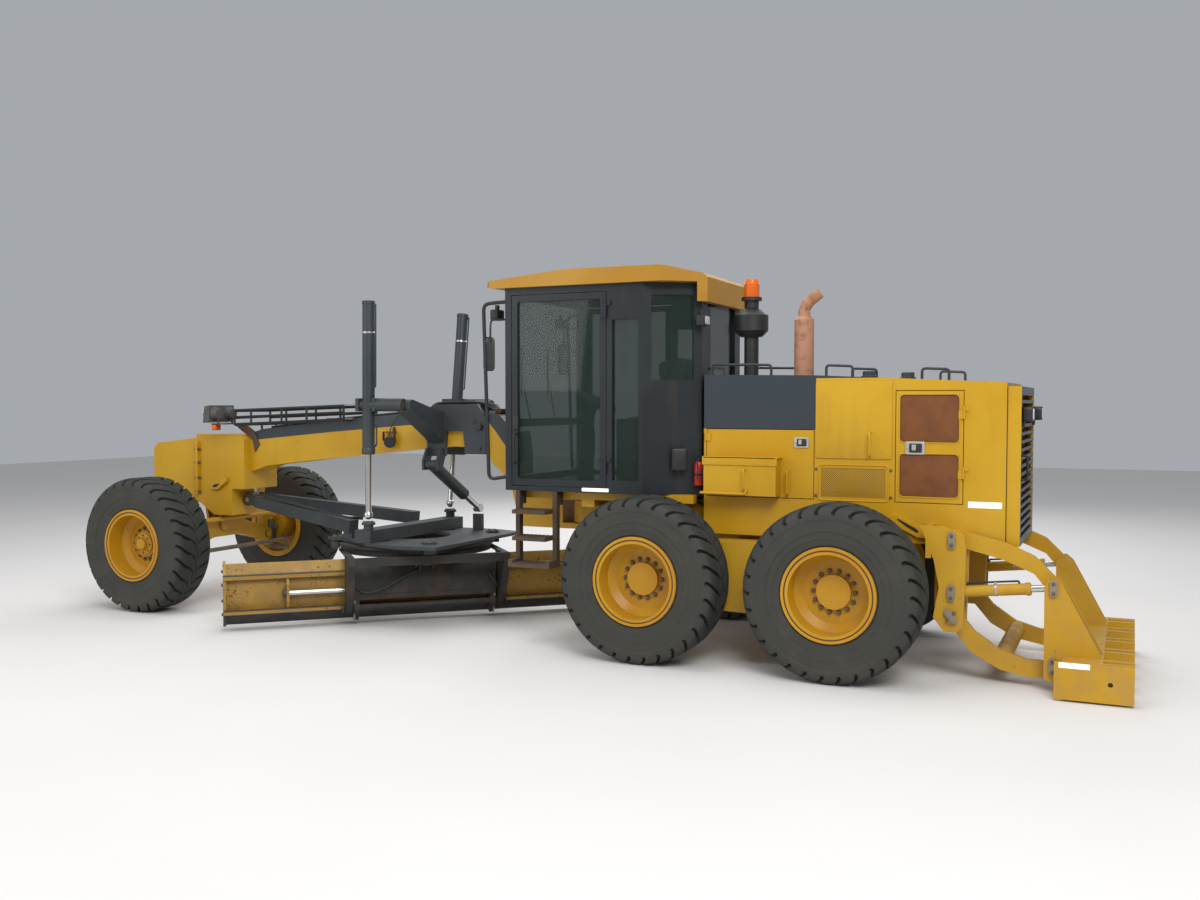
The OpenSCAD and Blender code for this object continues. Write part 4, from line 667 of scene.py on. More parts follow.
# Hood: screens, middle door, latches, handles, rails and caps; distances from the tandem's middle in metres
hoodParts = {"wall": 0.580, "screenX": (-1.582, -1.152),
             "lowScreen": (1.358, 1.678), "highScreen": (1.772, 2.128), "recess": 0.008,
             "middleX": (-1.092, -0.498), "middleZ": (1.635, 2.235), "mesh": (-1.055, -0.535, 1.322, 1.570),
             "latches": {"Front": (-0.385, 1.755, 0.12, 0.085), "Rear": (-1.265, 1.726, 0.145, 0.10)},
             "rails": [(0.40, -0.10), (-0.55, -0.76), (-1.29, -1.49)], "railY": 0.46, "railTop": 0.085,
             "railPipe": 0.011, "caps": [-0.87, -1.17], "topLine": ([-1.92, -0.50, 0.43], [2.220, 2.285, 2.300]),
             "boxLid": (-0.228, 0.388, 1.560, 1.628)}


def hoodTop(x):
    # Height of the hood's top, in straight slopes between the heights given
    return np.interp(x, *hoodParts["topLine"])


print("Fitting the hood's small parts")
for side, letter in ((1, "l"), (-1, "r")):
    wall, tag = hoodParts["wall"], "_left" if side > 0 else "_right"
    frontDoor, rearDoor = "hood_door_" + letter + "f", "hood_door_" + letter + "r"
    screens, rims = [], []
    for low, high in (hoodParts["lowScreen"], hoodParts["highScreen"]):
        x0, x1 = hoodParts["screenX"]
        centre = at((x0 + x1) / 2, wall - hoodParts["recess"] + 0.002, (low + high) / 2)
        screens.append(slab(centre, (x1 - x0, 0.004, high - low), 0.03, 0.001))
        loop = roundedLoop(x1 - x0 + 0.012, high - low + 0.012, 0.035)
        rims.append(tube(loop + centre + (0, 0.007, 0), 0.005, 8, closed=True))
    putPiece("rear_door_screens" + tag, onSide(together(*screens), side), rearDoor, "door_yellow", screenRed)
    putPiece("rear_door_screen_rims" + tag, onSide(together(*rims), side), rearDoor, "door_yellow")
    (x0, x1), (z0, z1) = hoodParts["middleX"], hoodParts["middleZ"]
    panel = slab(at((x0 + x1) / 2, wall + 0.0035, (z0 + z1) / 2), (x1 - x0, 0.011, z1 - z0), 0.02, 0.003)
    putPiece("middle_panel" + tag, onSide(panel, side), "chassis", "hood_paint")
    x0, x1, z0, z1 = hoodParts["mesh"]
    mesh = slab(at((x0 + x1) / 2, wall - 0.006, (z0 + z1) / 2), (x1 - x0, 0.004, z1 - z0), 0.02, 0.001)
    putPiece("middle_mesh" + tag, onSide(mesh, side), "chassis", "hood_paint", screenYellow)
    loop = roundedLoop(x1 - x0 + 0.03, z1 - z0 + 0.03, 0.03) + at((x0 + x1) / 2, wall + 0.001, (z0 + z1) / 2)
    meshFrame = onSide(tube(loop, 0.006, 8, closed=True), side)
    bolts = [at(x, wall + 0.001, z) for x in (x0 - 0.03, x1 + 0.03) for z in (z0 + 0.02, z1 - 0.02)]
    putPiece("middle_mesh_frame" + tag, meshFrame, "chassis", "hood_paint")
    putPiece("middle_mesh_bolts" + tag, onSide(boltHeads(bolts, (0, 1, 0), 0.009, 0.007), side), "chassis",
             "hood_paint", nutSteel)
    for where, (x, z, width, height) in hoodParts["latches"].items():
        plate = slab(at(x, wall + 0.004, z), (width, 0.008, height), 0.012, 0.003)
        cup = slab(at(x - 0.004, wall + 0.007, z), (width * 0.66, 0.006, height * 0.70), 0.008, 0.002)
        paddle = slab(at(x + 0.008, wall + 0.012, z + 0.004), (width * 0.22, 0.008, height * 0.44), 0.005, 0.002)
        lock = turned(chamfered(0.010, 0.006, 0.008, 0.008), at(x + width * 0.38, wall + 0.008, z), (0, 1, 0), 16)
        body = "hood_door_" + letter + where[0].lower()
        putPiece("latch" + where + tag, onSide(together(plate, paddle, lock), side), body, "bright_rod",
                 latchSilver)
        putPiece("latchCup" + where + tag, onSide(cup, side), body, "grille_black", hoseRubber)
    handles = {"middle": (-0.93, 1.66, 1.84, wall + 0.007, "chassis"),
               "front": (-0.28, 1.34, 1.53, wall, frontDoor), "box": (0.03, 1.38, 1.54, wall + 0.15, frontDoor)}
    for where, (x, low, high, y, body) in handles.items():
        putPiece("handle_" + where + tag, onSide(handle(x, y, low, high, 0.045, 0.008), side), body, "door_yellow")
    x0, x1, z0, z1 = hoodParts["boxLid"]
    lid = slab(at((x0 + x1) / 2, wall + 0.079, (z1 + 0.004)), (x1 - x0 + 0.006, 0.158, 0.016), 0.012, 0.004)
    lip = slab(at((x0 + x1) / 2, wall + 0.153, (z0 + z1) / 2 + 0.01), (x1 - x0 + 0.006, 0.010, z1 - z0), 0.006,
               0.003)
    putPiece("tool_box_lid" + tag, onSide(together(lid, lip), side), frontDoor, "door_yellow")
    stepBar = rod([(0.30, wall + 0.10, 1.345), (0.40, wall + 0.10, 1.345), (0.40, wall + 0.17, 1.345),
                   (0.02, wall + 0.17, 1.345), (0.02, wall + 0.17, 1.372), (0.02, wall + 0.148, 1.372)], 0.012,
                  0.011, 10)
    putPiece("tool_box_step_bar" + tag, onSide(stepBar, side), frontDoor, "door_yellow")
    rails = []
    for x0, x1 in hoodParts["rails"]:
        y, rise = hoodParts["railY"], hoodParts["railTop"]
        z0, z1 = hoodTop(x0), hoodTop(x1)
        rails.append(rod([(x0, y, z0 - 0.01), (x0, y, z0 + rise), (x1, y, z1 + rise), (x1, y, z1 - 0.01)], 0.03,
                         hoodParts["railPipe"], 10))
    putPiece("hood_top_rails" + tag, onSide(together(*rails), side), "chassis", "dark_steel")
caps = [turned([(0, -0.01), (0.062, -0.01), (0.062, 0.012), (0.050, 0.016), (0.050, 0.045), (0.044, 0.052),
                (0, 0.054)], at(x, 0.38, hoodTop(x)), (0, 0, 1), 28) for x in hoodParts["caps"]]
putPiece("hood_caps", together(*caps), "chassis", "dark_steel")

# Reflective strips on the frame, the cab's sill and the ripper beam, glowing with a painted reflection
strips = {"frame": (-1.775, 0.5805, 1.310, 0.24, 0.046, "chassis"),
          "sill": (1.335, 0.7605, 1.336, 0.25, 0.030, "chassis"),
          "ripper": (-2.42, 0.9805, 0.255, 0.20, 0.038, "ripper_tool")}
print("Sticking on the reflective strips")
for where, (x, y, z, width, height, body) in strips.items():
    strip = slab(at(x, y, z), (width, 0.002, height), 0.004, 0.0008)
    putPiece("reflective_" + where, pair(strip), body, "lamp_housing", reflective)

# Cab: handrails, door handles and seals, lamps, small boxes, mirrors, wheel and seat
cabParts = {"side": 0.760, "doorX": (1.236, 2.134), "doorZ": (1.356, 2.994), "rail": (2.335, 0.815),
            "railZ": (1.40, 2.93), "pipe": 0.016}
print("Fitting out the cab")
wall, (low, high), (x, y) = cabParts["side"], cabParts["railZ"], cabParts["rail"]
rail = rod([(2.17, wall - 0.02, low + 0.03), (x, y, low), (x + 0.05, y, high), (2.17, wall - 0.03, high + 0.02)],
           0.06, cabParts["pipe"], 12)
putPiece("cab_front_rails", pair(rail), "chassis", "intake_black")
for side, letter, tag in ((1, "l", "_left"), (-1, "r", "_right")):
    (doorX0, doorX1), (doorZ0, doorZ1) = cabParts["doorX"], cabParts["doorZ"]
    loop = roundedLoop(doorX1 - doorX0 - 0.085, doorZ1 - doorZ0 - 0.085, 0.05)
    seal = tube(loop + at((doorX0 + doorX1) / 2, wall - 0.012, (doorZ0 + doorZ1) / 2), 0.009, 8, closed=True)
    putPiece("cab_door_seal" + tag, onSide(seal, side), "cab_door_" + letter, "intake_black", hoseRubber)
    grip = handle(2.09, wall, 1.55, 1.80, 0.05, 0.010, bend=0.022)
    keyBox = slab(at(2.095, wall + 0.008, 1.90), (0.055, 0.018, 0.12), 0.012, 0.005)
    putPiece("cab_door_handle" + tag, onSide(together(grip, keyBox), side), "cab_door_" + letter, "intake_black",
             hoseRubber)

steering = {"centre": (1.686, 0.0, 2.07), "tilt": 25.0, "ring": 0.185, "grip": 0.014,
            "spokes": (0.5, math.pi - 0.5, -math.pi / 2)}
angle = np.linspace(0, 2 * np.pi, 49)[:-1]
tilt = math.radians(steering["tilt"])
acrossWheel, upWheel = np.array([0, 1.0, 0]), np.array([math.cos(tilt), 0, math.sin(tilt)])
centre, radius = at(*steering["centre"]), steering["ring"]
ring = centre + radius * (np.cos(angle)[:, None] * acrossWheel + np.sin(angle)[:, None] * upWheel)
spokes = []
for turn in steering["spokes"]:
    outward = math.cos(turn) * acrossWheel + math.sin(turn) * upWheel
    spokes.append(tube(centre + np.linspace(0, radius, 6)[:, None] * outward, 0.011, 8))
putPiece("steering_wheel", together(tube(ring, steering["grip"], 12, closed=True), *spokes), "chassis",
         "seat_black")

# Cab: seat cushions, mirrors, work lamps, wipers, extinguisher and the box on the slanting rear wall
cabFittings = {"rearLamps": (0.455, 0.55, 2.745), "frontLamps": (2.36, 0.62, 2.845),
               "lampSize": (0.075, 0.13, 0.095), "mirror": (2.375, 0.795, 2.50, 0.026, 0.17, 0.30),
               "box": (0.615, 0.660, 1.60), "boxSize": (0.13, 0.035, 0.19), "wallTurn": 31.8,
               "bottle": (0.483, 0.56, 1.385, 0.040, 0.165)}
print("Hanging lamps, mirrors and boxes on the cab")


def onWall(shape, place, turn):
    # A shape made round the origin, turned about the upright by so many degrees and set at a place
    c, s = math.cos(math.radians(turn)), math.sin(math.radians(turn))
    return np.asarray(shape[0]) @ np.array([[c, s, 0], [-s, c, 0], [0, 0, 1]]) + at(*place), shape[1]


cases, lenses = [], []
for (x, y, z), facing in ((cabFittings["rearLamps"], -1), (cabFittings["frontLamps"], 1)):
    depth, width, height = cabFittings["lampSize"]
    cases += [slab(at(x, y, z), (depth, width, height), 0.018, 0.010),
              slab(at(x, y, z + height / 2 + 0.018), (0.03, 0.035, 0.045), 0.006, 0.003)]
    lenses.append(slab(at(x + facing * (depth / 2 + 0.001), y, z), (0.008, width - 0.028, height - 0.028), 0.012,
                       0.003))
case, lens = together(*cases), together(*lenses)
putPiece("cab_work_lamps", pair(case), "chassis", "intake_black")
putPiece("cab_work_lamp_lenses", pair(lens), "chassis", "lamp_housing", lensClear)
x, y, z, depth, width, height = cabFittings["mirror"]
arm = rod([(2.20, 0.66, z + 0.30), (x, 0.70, z + 0.30), (x, y - 0.08, z + 0.24), (x, y - 0.08, z + 0.10)], 0.03,
          0.009)
head = slab(at(x + 0.014, y - 0.08, z), (depth, width, height), 0.04, 0.010)
glass = slab(at(x - 0.001, y - 0.08, z), (0.006, width - 0.024, height - 0.024), 0.034, 0.002)
putPiece("cab_mirrors", pair(arm, head), "chassis", "intake_black")
putPiece("cab_mirror_glasses", pair(glass), "chassis", "bright_rod", clampSteel)
boxBody = onWall(slab((0, 0, 0), cabFittings["boxSize"], 0.02, 0.010), cabFittings["box"], cabFittings["wallTurn"])
boxDoor = onWall(slab((0, 0.019, 0), (0.110, 0.008, 0.165), 0.012, 0.003), cabFittings["box"],
                 cabFittings["wallTurn"])
putPiece("cab_rear_box", together(boxBody, boxDoor), "chassis", "intake_black")
x, y, z, radius, height = cabFittings["bottle"]
bottle = turned([(0, 0), (radius, 0.006), (radius, height), (radius * 0.75, height + 0.028),
                 (0.014, height + 0.036), (0, height + 0.036)], at(x, y, z), (0, 0, 1), 24)
putPiece("extinguisher", bottle, "chassis", "beacon_amber", extinguisherRed)
top = z + height + 0.05
lead = rod([(x - 0.01, y + 0.012, top), (x - 0.01, y + 0.055, top), (x - 0.01, y + 0.058, z + 0.05)], 0.02, 0.006,
           8)
strap = turned(hoop(radius + 0.001, radius + 0.003, 0.018), at(x, y, z + 0.085), (0, 0, 1), 24)
valve = together(turned(disc(0.014, 0.022), at(x, y, z + height + 0.034), (0, 0, 1), 12), lead, strap,
                 slab(at(x - 0.044, y, z + 0.094), (0.018, 0.05, 0.11), 0.004, 0.002))
putPiece("extinguisher_valve", valve, "chassis", "intake_black", hoseRubber)
wipers = []
for y in (0.25, -0.25):
    wipers += [tube([at(2.205, y, 1.895), at(2.222, y + 0.03, 1.95), at(2.214, y + 0.20, 2.35)], 0.006, 8),
               slab(at(2.210, y + 0.20, 2.36), (0.012, 0.02, 0.42), 0.004, 0.003)]
putPiece("wipers", together(*wipers), "chassis", "intake_black")

# Seat: crowned cushions on the base and the leaning back, with sewn channels across them
seat = {"base": ((1.085, 0.0, 1.895), (0.255, 0.262, 0.055), 0.0),
        "back": ((0.905, 0.0, 2.150), (0.29, 0.245, 0.050), 78.0), "channels": 4, "channelDepth": 0.008}


def cushion(centre, half, lean):
    # A superellipsoid: powers below one square off the cosines and sines of its two angles; the top sinks along
    # each channel
    u, v = np.meshgrid(np.linspace(-np.pi / 2, np.pi / 2, 25), np.arange(64) * 2 * np.pi / 64, indexing="ij")

    def rounded(wave, power):
        return np.sign(wave) * np.abs(wave) ** power

    along = half[0] * rounded(np.cos(u), 0.45) * rounded(np.cos(v), 0.35)
    across = half[1] * rounded(np.cos(u), 0.45) * rounded(np.sin(v), 0.35)
    wave = np.sin(along / half[0] * seat["channels"] * np.pi / 2)
    groove = np.exp(-(wave / 0.16) ** 2) * (np.abs(along) < half[0] * 0.85)
    height = half[2] * rounded(np.sin(u), 0.75) - seat["channelDepth"] * groove * (u > 0)
    c, s = math.cos(math.radians(lean)), math.sin(math.radians(lean))
    points = np.stack([along * c + height * s * (1 if lean else 0), across,
                       along * s + height * (-c if lean else 1)], -1)
    return points.reshape(-1, 3) + at(*centre), gridFaces(25, 64, closeColumns=True)


for name in ("base", "back"):
    pad = putPiece("seat_cushion_" + name, cushion(*seat[name]), "chassis", "seat_black", seatCloth, smooth=60)

# Gooseneck: rack of square bars, hoses along the top, side lamp on its rusty bracket, head bolts, tie-down
# hooks and lamp lenses
neckParts = {"rackX": (5.72, 4.32), "rackY": 0.27, "rackLow": (1.845, 1.905), "rackHigh": (1.990, 2.040),
             "bar": 0.011, "posts": [5.72, 5.50, 5.10, 4.78, 4.32], "flange": (6.245, 1.385),
             "flangeBolts": [1.13, 1.28, 1.44, 1.58], "lampAt": (3.83, 0.152, 1.70),
             "hoseY": [-0.075, -0.03, 0.02, 0.07], "hoseRadius": 0.0115,
             "top": ([2.62, 2.90, 3.655, 4.59, 5.45], [1.962, 2.012, 1.972, 1.892, 1.802]),
             "lensY": [0.20, 0.40], "lensZ": 1.958, "lensX": 5.955}


def neckHeight(x):
    # Height of the gooseneck's top, in straight slopes between the heights given
    return np.interp(x, *neckParts["top"])


def lerp(ends, x):
    # A height between two ends of the rack, by how far x lies along it
    rear, front = neckParts["rackX"]
    return ends[0] + (ends[1] - ends[0]) * (x - rear) / (front - rear)


def bar(start, end):
    # A square bar: a tube of four sides between two places
    return tube([at(*start), at(*end)], neckParts["bar"] * math.sqrt(2), 4)


print("Building the rack and the hoses on the gooseneck")
x0, x1 = neckParts["rackX"]
y = neckParts["rackY"]
bars = []
rackLow, rackHigh = neckParts["rackLow"], neckParts["rackHigh"]
rackMiddle = [(low + high) / 2 for low, high in zip(rackLow, rackHigh)]
for side in (1, -1):
    for ends in (rackLow, rackMiddle, rackHigh):
        bars.append(bar((x0, side * y, ends[0]), (x1, side * y, ends[1])))
    bars += [bar((x, side * y, lerp(rackLow, x)), (x, side * y, lerp(rackHigh, x))) for x in neckParts["posts"]]
for x in neckParts["posts"]:
    low = lerp(rackLow, x)
    bars.append(bar((x, -y, low), (x, y, low)))
    if x < 5.6:
        bars += [bar((x, side * 0.11, neckHeight(x) - 0.01), (x, side * 0.11, low)) for side in (1, -1)]
bars += [bar((x, -y, z), (x, y, z)) for x, z in zip(neckParts["rackX"], rackHigh)]
putPiece("neck_rack", together(*bars), "front", "intake_black", smooth=30)
hoses = []
for k, y in enumerate(neckParts["hoseY"]):
    lift = neckParts["hoseRadius"]
    run = [(x, y, float(neckHeight(x)) + lift) for x in np.linspace(5.40, 3.55, 8)]
    hoses.append(hose(run + [(3.43, y, 2.02), (3.34, y * 0.9, 2.067), (3.08, y * 1.1, 2.070 + 0.002 * k),
                             (2.84, y, 2.067), (2.74, y * 0.8, 2.010), (2.64, y * 0.8, 1.985)], lift))
putPiece("neck_hoses", together(*hoses), "front", "intake_black", hoseRubber, smooth=60)
clips = [slab(at(x, 0, float(neckHeight(x)) + 0.026), (0.03, 0.21, 0.006), 0.003, 0.002)
         for x in (5.2, 4.65, 4.1, 3.6)]
clips += [slab(at(2.655, 0, 1.992), (0.07, 0.20, 0.045), 0.01, 0.005)]
putPiece("neck_hose_clips", together(*clips), "front", "dark_steel", bracketRust)

flangeX, flangeZ = neckParts["flange"]
flange = slab(at(flangeX, 0.262, flangeZ), (0.034, 0.05, 0.56), 0.006, 0.003)
putPiece("head_flanges", pair(flange), "front", "neck_paint")
rear = boltHeads([at(flangeX - 0.016, 0.270, z) for z in neckParts["flangeBolts"]], (-1, 0, 0), 0.014, 0.018)
fore = boltHeads([at(flangeX + 0.016, 0.270, z) for z in neckParts["flangeBolts"]], (1, 0, 0), 0.014, 0.016)
putPiece("head_flange_bolts", pair(rear, fore), "front", "bright_rod", nutSteel, smooth=30)

hook = [(6.050, 1.185), (6.020, 1.160), (5.950, 1.160), (5.835, 1.245), (5.828, 1.290), (5.862, 1.292),
        (6.000, 1.235)]
slot = [(6.020, 1.195), (6.005, 1.182), (5.965, 1.185), (5.925, 1.215), (5.930, 1.225), (5.990, 1.215)]
rearOutline = [(-1.070, 1.195), (-1.085, 1.220), (-1.125, 1.222), (-1.335, 1.112), (-1.362, 1.070), (-1.350, 1.045),
               (-1.300, 1.045), (-1.175, 1.105)]
rearOpening = [(-1.140, 1.180), (-1.150, 1.187), (-1.290, 1.112), (-1.305, 1.092), (-1.288, 1.084), (-1.200, 1.135)]
frontHook, rearHook = flatPlate(hook, 0.250, 0.290, 0.006), flatPlate(rearOutline, 0.580, 0.612, 0.006)
# The hooks' openings are thin black sheets on their outer faces: painted shade where the holes are
frontSlot, rearSlot = flatPlate(slot, 0.288, 0.2915, 0.001), flatPlate(rearOpening, 0.610, 0.6135, 0.001)
putPiece("head_hooks", pair(frontHook), "front", "neck_paint")
# Black sheet in the head hook's opening: painted shade
putPiece("head_hook_slot_shade", pair(frontSlot), "front", "neck_paint", finishes["intake_black"])
putPiece("frame_hooks", pair(rearHook), "chassis", "frame_yellow")
# Black sheet in the frame hook's opening: painted shade
putPiece("frame_hook_slot_shade", pair(rearSlot), "chassis", "frame_yellow", finishes["intake_black"])

lampX, lampY, lampZ = neckParts["lampAt"]
bowl = turned([(0, 0), (0.028, 0), (0.048, 0.018), (0.056, 0.045), (0.058, 0.060), (0.054, 0.066), (0, 0.069)],
              at(lampX, lampY + 0.012, lampZ), (-0.35, 1, -0.25), 28)
putPiece("neck_lamp", bowl, "front", "lamp_housing", finishes["intake_black"], smooth=50)
lampBracket = together(slab(at(lampX, lampY + 0.030, lampZ + 0.085), (0.13, 0.06, 0.008), 0.01, 0.003),
                       slab(at(lampX - 0.066, lampY + 0.045, lampZ + 0.045), (0.006, 0.03, 0.09), 0.008, 0.002),
                       slab(at(lampX + 0.066, lampY + 0.045, lampZ + 0.045), (0.006, 0.03, 0.09), 0.008, 0.002),
                       slab(at(lampX - 0.03, lampY + 0.002, lampZ + 0.105), (0.035, 0.008, 0.06), 0.01, 0.003))
putPiece("neck_lamp_bracket", lampBracket, "front", "dark_steel", bracketRust)
cable = hose([(lampX, lampY + 0.05, lampZ + 0.05), (lampX - 0.05, lampY + 0.06, lampZ + 0.16),
              (lampX - 0.12, lampY + 0.04, lampZ + 0.25), (lampX - 0.20, 0.12, 2.005),
              (lampX - 0.30, 0.105, 2.005)], 0.0045, 8)
putPiece("neck_lamp_cable", cable, "front", "intake_black", hoseRubber, smooth=60)
lensRings, lensGlass = [], []
for y in neckParts["lensY"]:
    place = at(neckParts["lensX"], y, neckParts["lensZ"])
    lensRings.append(turned([(0.062, 0), (0.072, 0), (0.074, 0.006), (0.068, 0.012), (0.062, 0.010), (0.062, 0)],
                            place, (1, 0, 0), 36))
    lensGlass.append(turned([(0, 0), (0.063, 0), (0.063, 0.005), (0.045, 0.012), (0.020, 0.015), (0, 0.016)], place,
                            (1, 0, 0), 36))
putPiece("head_lamp_rims", together(*lensRings), "front", "bright_rod", clampSteel)
putPiece("head_lamp_lenses", together(*lensGlass), "front", "lamp_housing", lensClear, smooth=60)
indicator = slab(at(5.834, 0.415, 1.819), (0.054, 0.076, 0.056), 0.010, 0.006)
putPiece("indicator_lens", indicator, "front", "beacon_amber")

# Saddle: rims on the yoke pipes, pin caps, plate bolts and the peg on its cheek
saddleParts = {"pipeEnd": 3.270, "yoke": (0.760, 2.050), "frontEnd": 3.765, "cheek": 0.195,
               "bolts": [(2.80, 1.64), (2.86, 1.90), (3.23, 1.62), (3.35, 1.62), (3.23, 1.72), (3.35, 1.90)]}
print("Finishing the saddle")
yokeY, yokeZ = saddleParts["yoke"]
rim = turned([(0.046, -0.004), (0.060, -0.004), (0.0605, 0.004), (0.057, 0.008), (0.048, 0.008), (0.046, 0.004),
              (0.046, -0.004)], at(saddleParts["pipeEnd"], yokeY, yokeZ), (-1, 0, 0), 32)
hollow = turned(disc(0.047, 0.0015), at(saddleParts["pipeEnd"], yokeY, yokeZ), (-1, 0, 0), 32)
capOutline = [(0, 0), (0.040, 0), (0.040, 0.006), (0.036, 0.010), (0.020, 0.010), (0.018, 0.016), (0, 0.017)]
cap = turned(capOutline, at(saddleParts["frontEnd"], yokeY, yokeZ), (1, 0, 0), 28)
putPiece("yoke_pipe_rims", pair(rim, cap), "front", "dark_steel")
putPiece("yoke_pipe_hollows", pair(hollow), "front", "dark_steel", bracketRust)
cheekBolts = boltHeads([at(x, saddleParts["cheek"], z) for x, z in saddleParts["bolts"]], (0, 1, 0), 0.016, 0.014)
forkBolts = boltHeads([at(saddleParts["frontEnd"], yokeY + dy, yokeZ + dz) for dy in (-0.082, 0.036)
                       for dz in (-0.038, 0.042)], (1, 0, 0), 0.010, 0.008)
putPiece("saddle_bolts", pair(cheekBolts, forkBolts), "front", "dark_steel", smooth=30)
peg = turned(chamfered(0.034, 0.030, 0.030, 0.036), at(2.80, saddleParts["cheek"], 1.845), (0, 1, 0), 28)
putPiece("saddle_peg", pair(peg), "front", "dark_steel", edgeSteel)

# Lift cylinders: glands, clamp bands, pressure pipes and their fittings, set along each cylinder's own axis
lift = {"yoke": {"l": (0.760, 0.7745), "r": (-0.760, -0.6245)}, "x": 3.655,
        "top": 2.050, "ball": 1.030, "barrel": 0.057, "band": 0.66, "pipe": 0.0075,
        "routes": [(0.012, [(0.915, 0.8), (0.915, 1.15), (0.885, 1.15), (0.20, 1.15), (0.165, 1.15), (0.165, 0.7)]),
                   (0.014, [(-0.375, 1.1), (-0.375, 1.3), (-0.17, 1.3), (-0.17, 0.7)])]}
print("Plumbing the lift cylinders")
for letter, (topY, lowY) in lift["yoke"].items():
    tag = "_left" if letter == "l" else "_right"
    axis = np.array([0, topY - lowY, lift["top"] - lift["ball"]])
    axis /= np.linalg.norm(axis)
    origin = at(lift["x"], topY, lift["top"])
    radius = lift["barrel"]
    bandOutline = [(radius - 0.001, 0), (radius + 0.003, 0), (radius + 0.003, 0.016), (radius - 0.001, 0.016)]
    band = turned(bandOutline, origin + axis * lift["band"], axis, 36)
    buckle = slab(origin + axis * (lift["band"] + 0.008) - (radius + 0.012, 0, 0), (0.026, 0.030, 0.016), 0.004,
                  0.003)
    putPiece("lift_clamp_band" + tag, together(band, buckle), "lift_" + letter, "bright_rod", clampSteel)
    gland = turned([(0.034, -0.012), (0.054, -0.012), (0.060, -0.006), (0.062, 0.006), (0.062, 0.040),
                    (0.058, 0.046), (0.034, 0.046)], origin - axis * 0.445, axis, 36)
    lid = turned([(0.050, -0.030), (0.0605, -0.030), (0.0605, -0.004), (0.054, 0.0), (0, 0.0015)],
                 origin + axis * 0.960, axis, 36)
    putPiece("lift_gland" + tag, together(gland, lid), "lift_" + letter, "dark_steel")
    back = np.array([-(radius + 0.012), 0, 0])
    pipes, elbows = [], []
    for bend, places in lift["routes"]:
        route = [origin + axis * along + back * out for along, out in places]
        pipes.append(tube(bent(route, bend), lift["pipe"], 8))
        elbows.append(turned(chamfered(0.016, 0.022, 0.012, 0.024),
                             origin + axis * places[0][0] - (radius, 0, 0), (-1, 0, 0), 6))
    putPiece("lift_pipes" + tag, together(*pipes, *elbows), "lift_" + letter, "dark_steel")

# Drawbar: guide shoe bolts, socket rings under the lift balls and hoses along its left beam
drawParts = {"circle": (3.5954, 0.0772), "turn": -2.1, "shoeRadius": 0.762, "shoeTop": 0.790,
             "sockets": (0.7745, -0.6245)}
print("Bolting the drawbar, circle and blade")
centre = np.array(drawParts["circle"])
shoePlaces = []
for around in (45, 135, 225, 315):
    angle = math.radians(around + drawParts["turn"])
    outward, along = np.array([math.cos(angle), math.sin(angle)]), np.array([-math.sin(angle), math.cos(angle)])
    for r in (-0.028, 0.026):
        shoePlaces += [at(*(centre + outward * (drawParts["shoeRadius"] + r) + along * t), drawParts["shoeTop"])
                       for t in (-0.038, 0.038)]
putPiece("guide_shoe_bolts", boltHeads(shoePlaces, (0, 0, 1), 0.013, 0.012), "draw", "bright_rod", nutSteel,
         smooth=30)
socketRing = [(0.046, 0), (0.062, 0), (0.064, 0.006), (0.060, 0.022), (0.050, 0.030), (0.044, 0.030), (0.046, 0)]
sockets = [turned(socketRing, at(3.655, y, 0.940), (0, 0, 1), 32) for y in drawParts["sockets"]]
aroundSocket = ((0.054, 0), (-0.054, 0), (0, 0.054), (0, -0.054))
places = [at(3.655 + dx, y + dy, 0.964) for y in drawParts["sockets"] for dx, dy in aroundSocket]
socketBolts = boltHeads(places, (0, 0, 1), 0.006, 0.007)
putPiece("lift_ball_sockets", together(*sockets), "draw", "dark_steel")
putPiece("lift_ball_socket_bolts", socketBolts, "draw", "bright_rod", nutSteel, smooth=30)
drawHoses = [hose([(5.46, 0.135 + k * 0.028, 1.118), (5.10, 0.235 + k * 0.028, 1.075),
                   (4.60, 0.365 + k * 0.026, 1.015), (4.15, 0.470 + k * 0.018, 0.966),
                   (3.95, 0.47, 0.952 + k * 0.012)], 0.010, 8) for k in range(3)]
putPiece("drawbar_hoses", together(*drawHoses), "draw", "intake_black", hoseRubber, smooth=60)

# Blade: edge nuts, end plate bolts, the bright slide rod, pin caps and the loop of hose to the side shift
# cylinder
bladeParts = {"turn": 46.1, "ends": (-1.843, 1.817), "edgeMiddle": (-0.2625, 0.105), "edgeSlope": (-0.839, -0.545),
              "nutPitch": 0.203, "slide": (-0.392, 0.330), "slideRadius": 0.0256, "curve": (0.090, 0.330),
              "endBolts": [152, 168, 186, 203], "endRadius": 0.452, "tiltPin": (-0.460, 0.170), "armEnd": 0.762}
turn = math.radians(bladeParts["turn"])
alongBlade = np.array([math.sin(turn), math.cos(turn), 0])
acrossBlade = np.array([math.cos(turn), -math.sin(turn), 0])


def onBlade(u, v, z):
    # u runs along the blade to its left end, v square to it towards its front, both from the circle's middle
    return at(*centre, 0) + u * alongBlade + v * acrossBlade + np.array([0, 0, z])


def onCurve(u, radius, angle):
    # A place round the middle of the blade's hollow, u along the blade
    v, z = bladeParts["curve"]
    return onBlade(u, v + radius * math.cos(angle), z + radius * math.sin(angle))


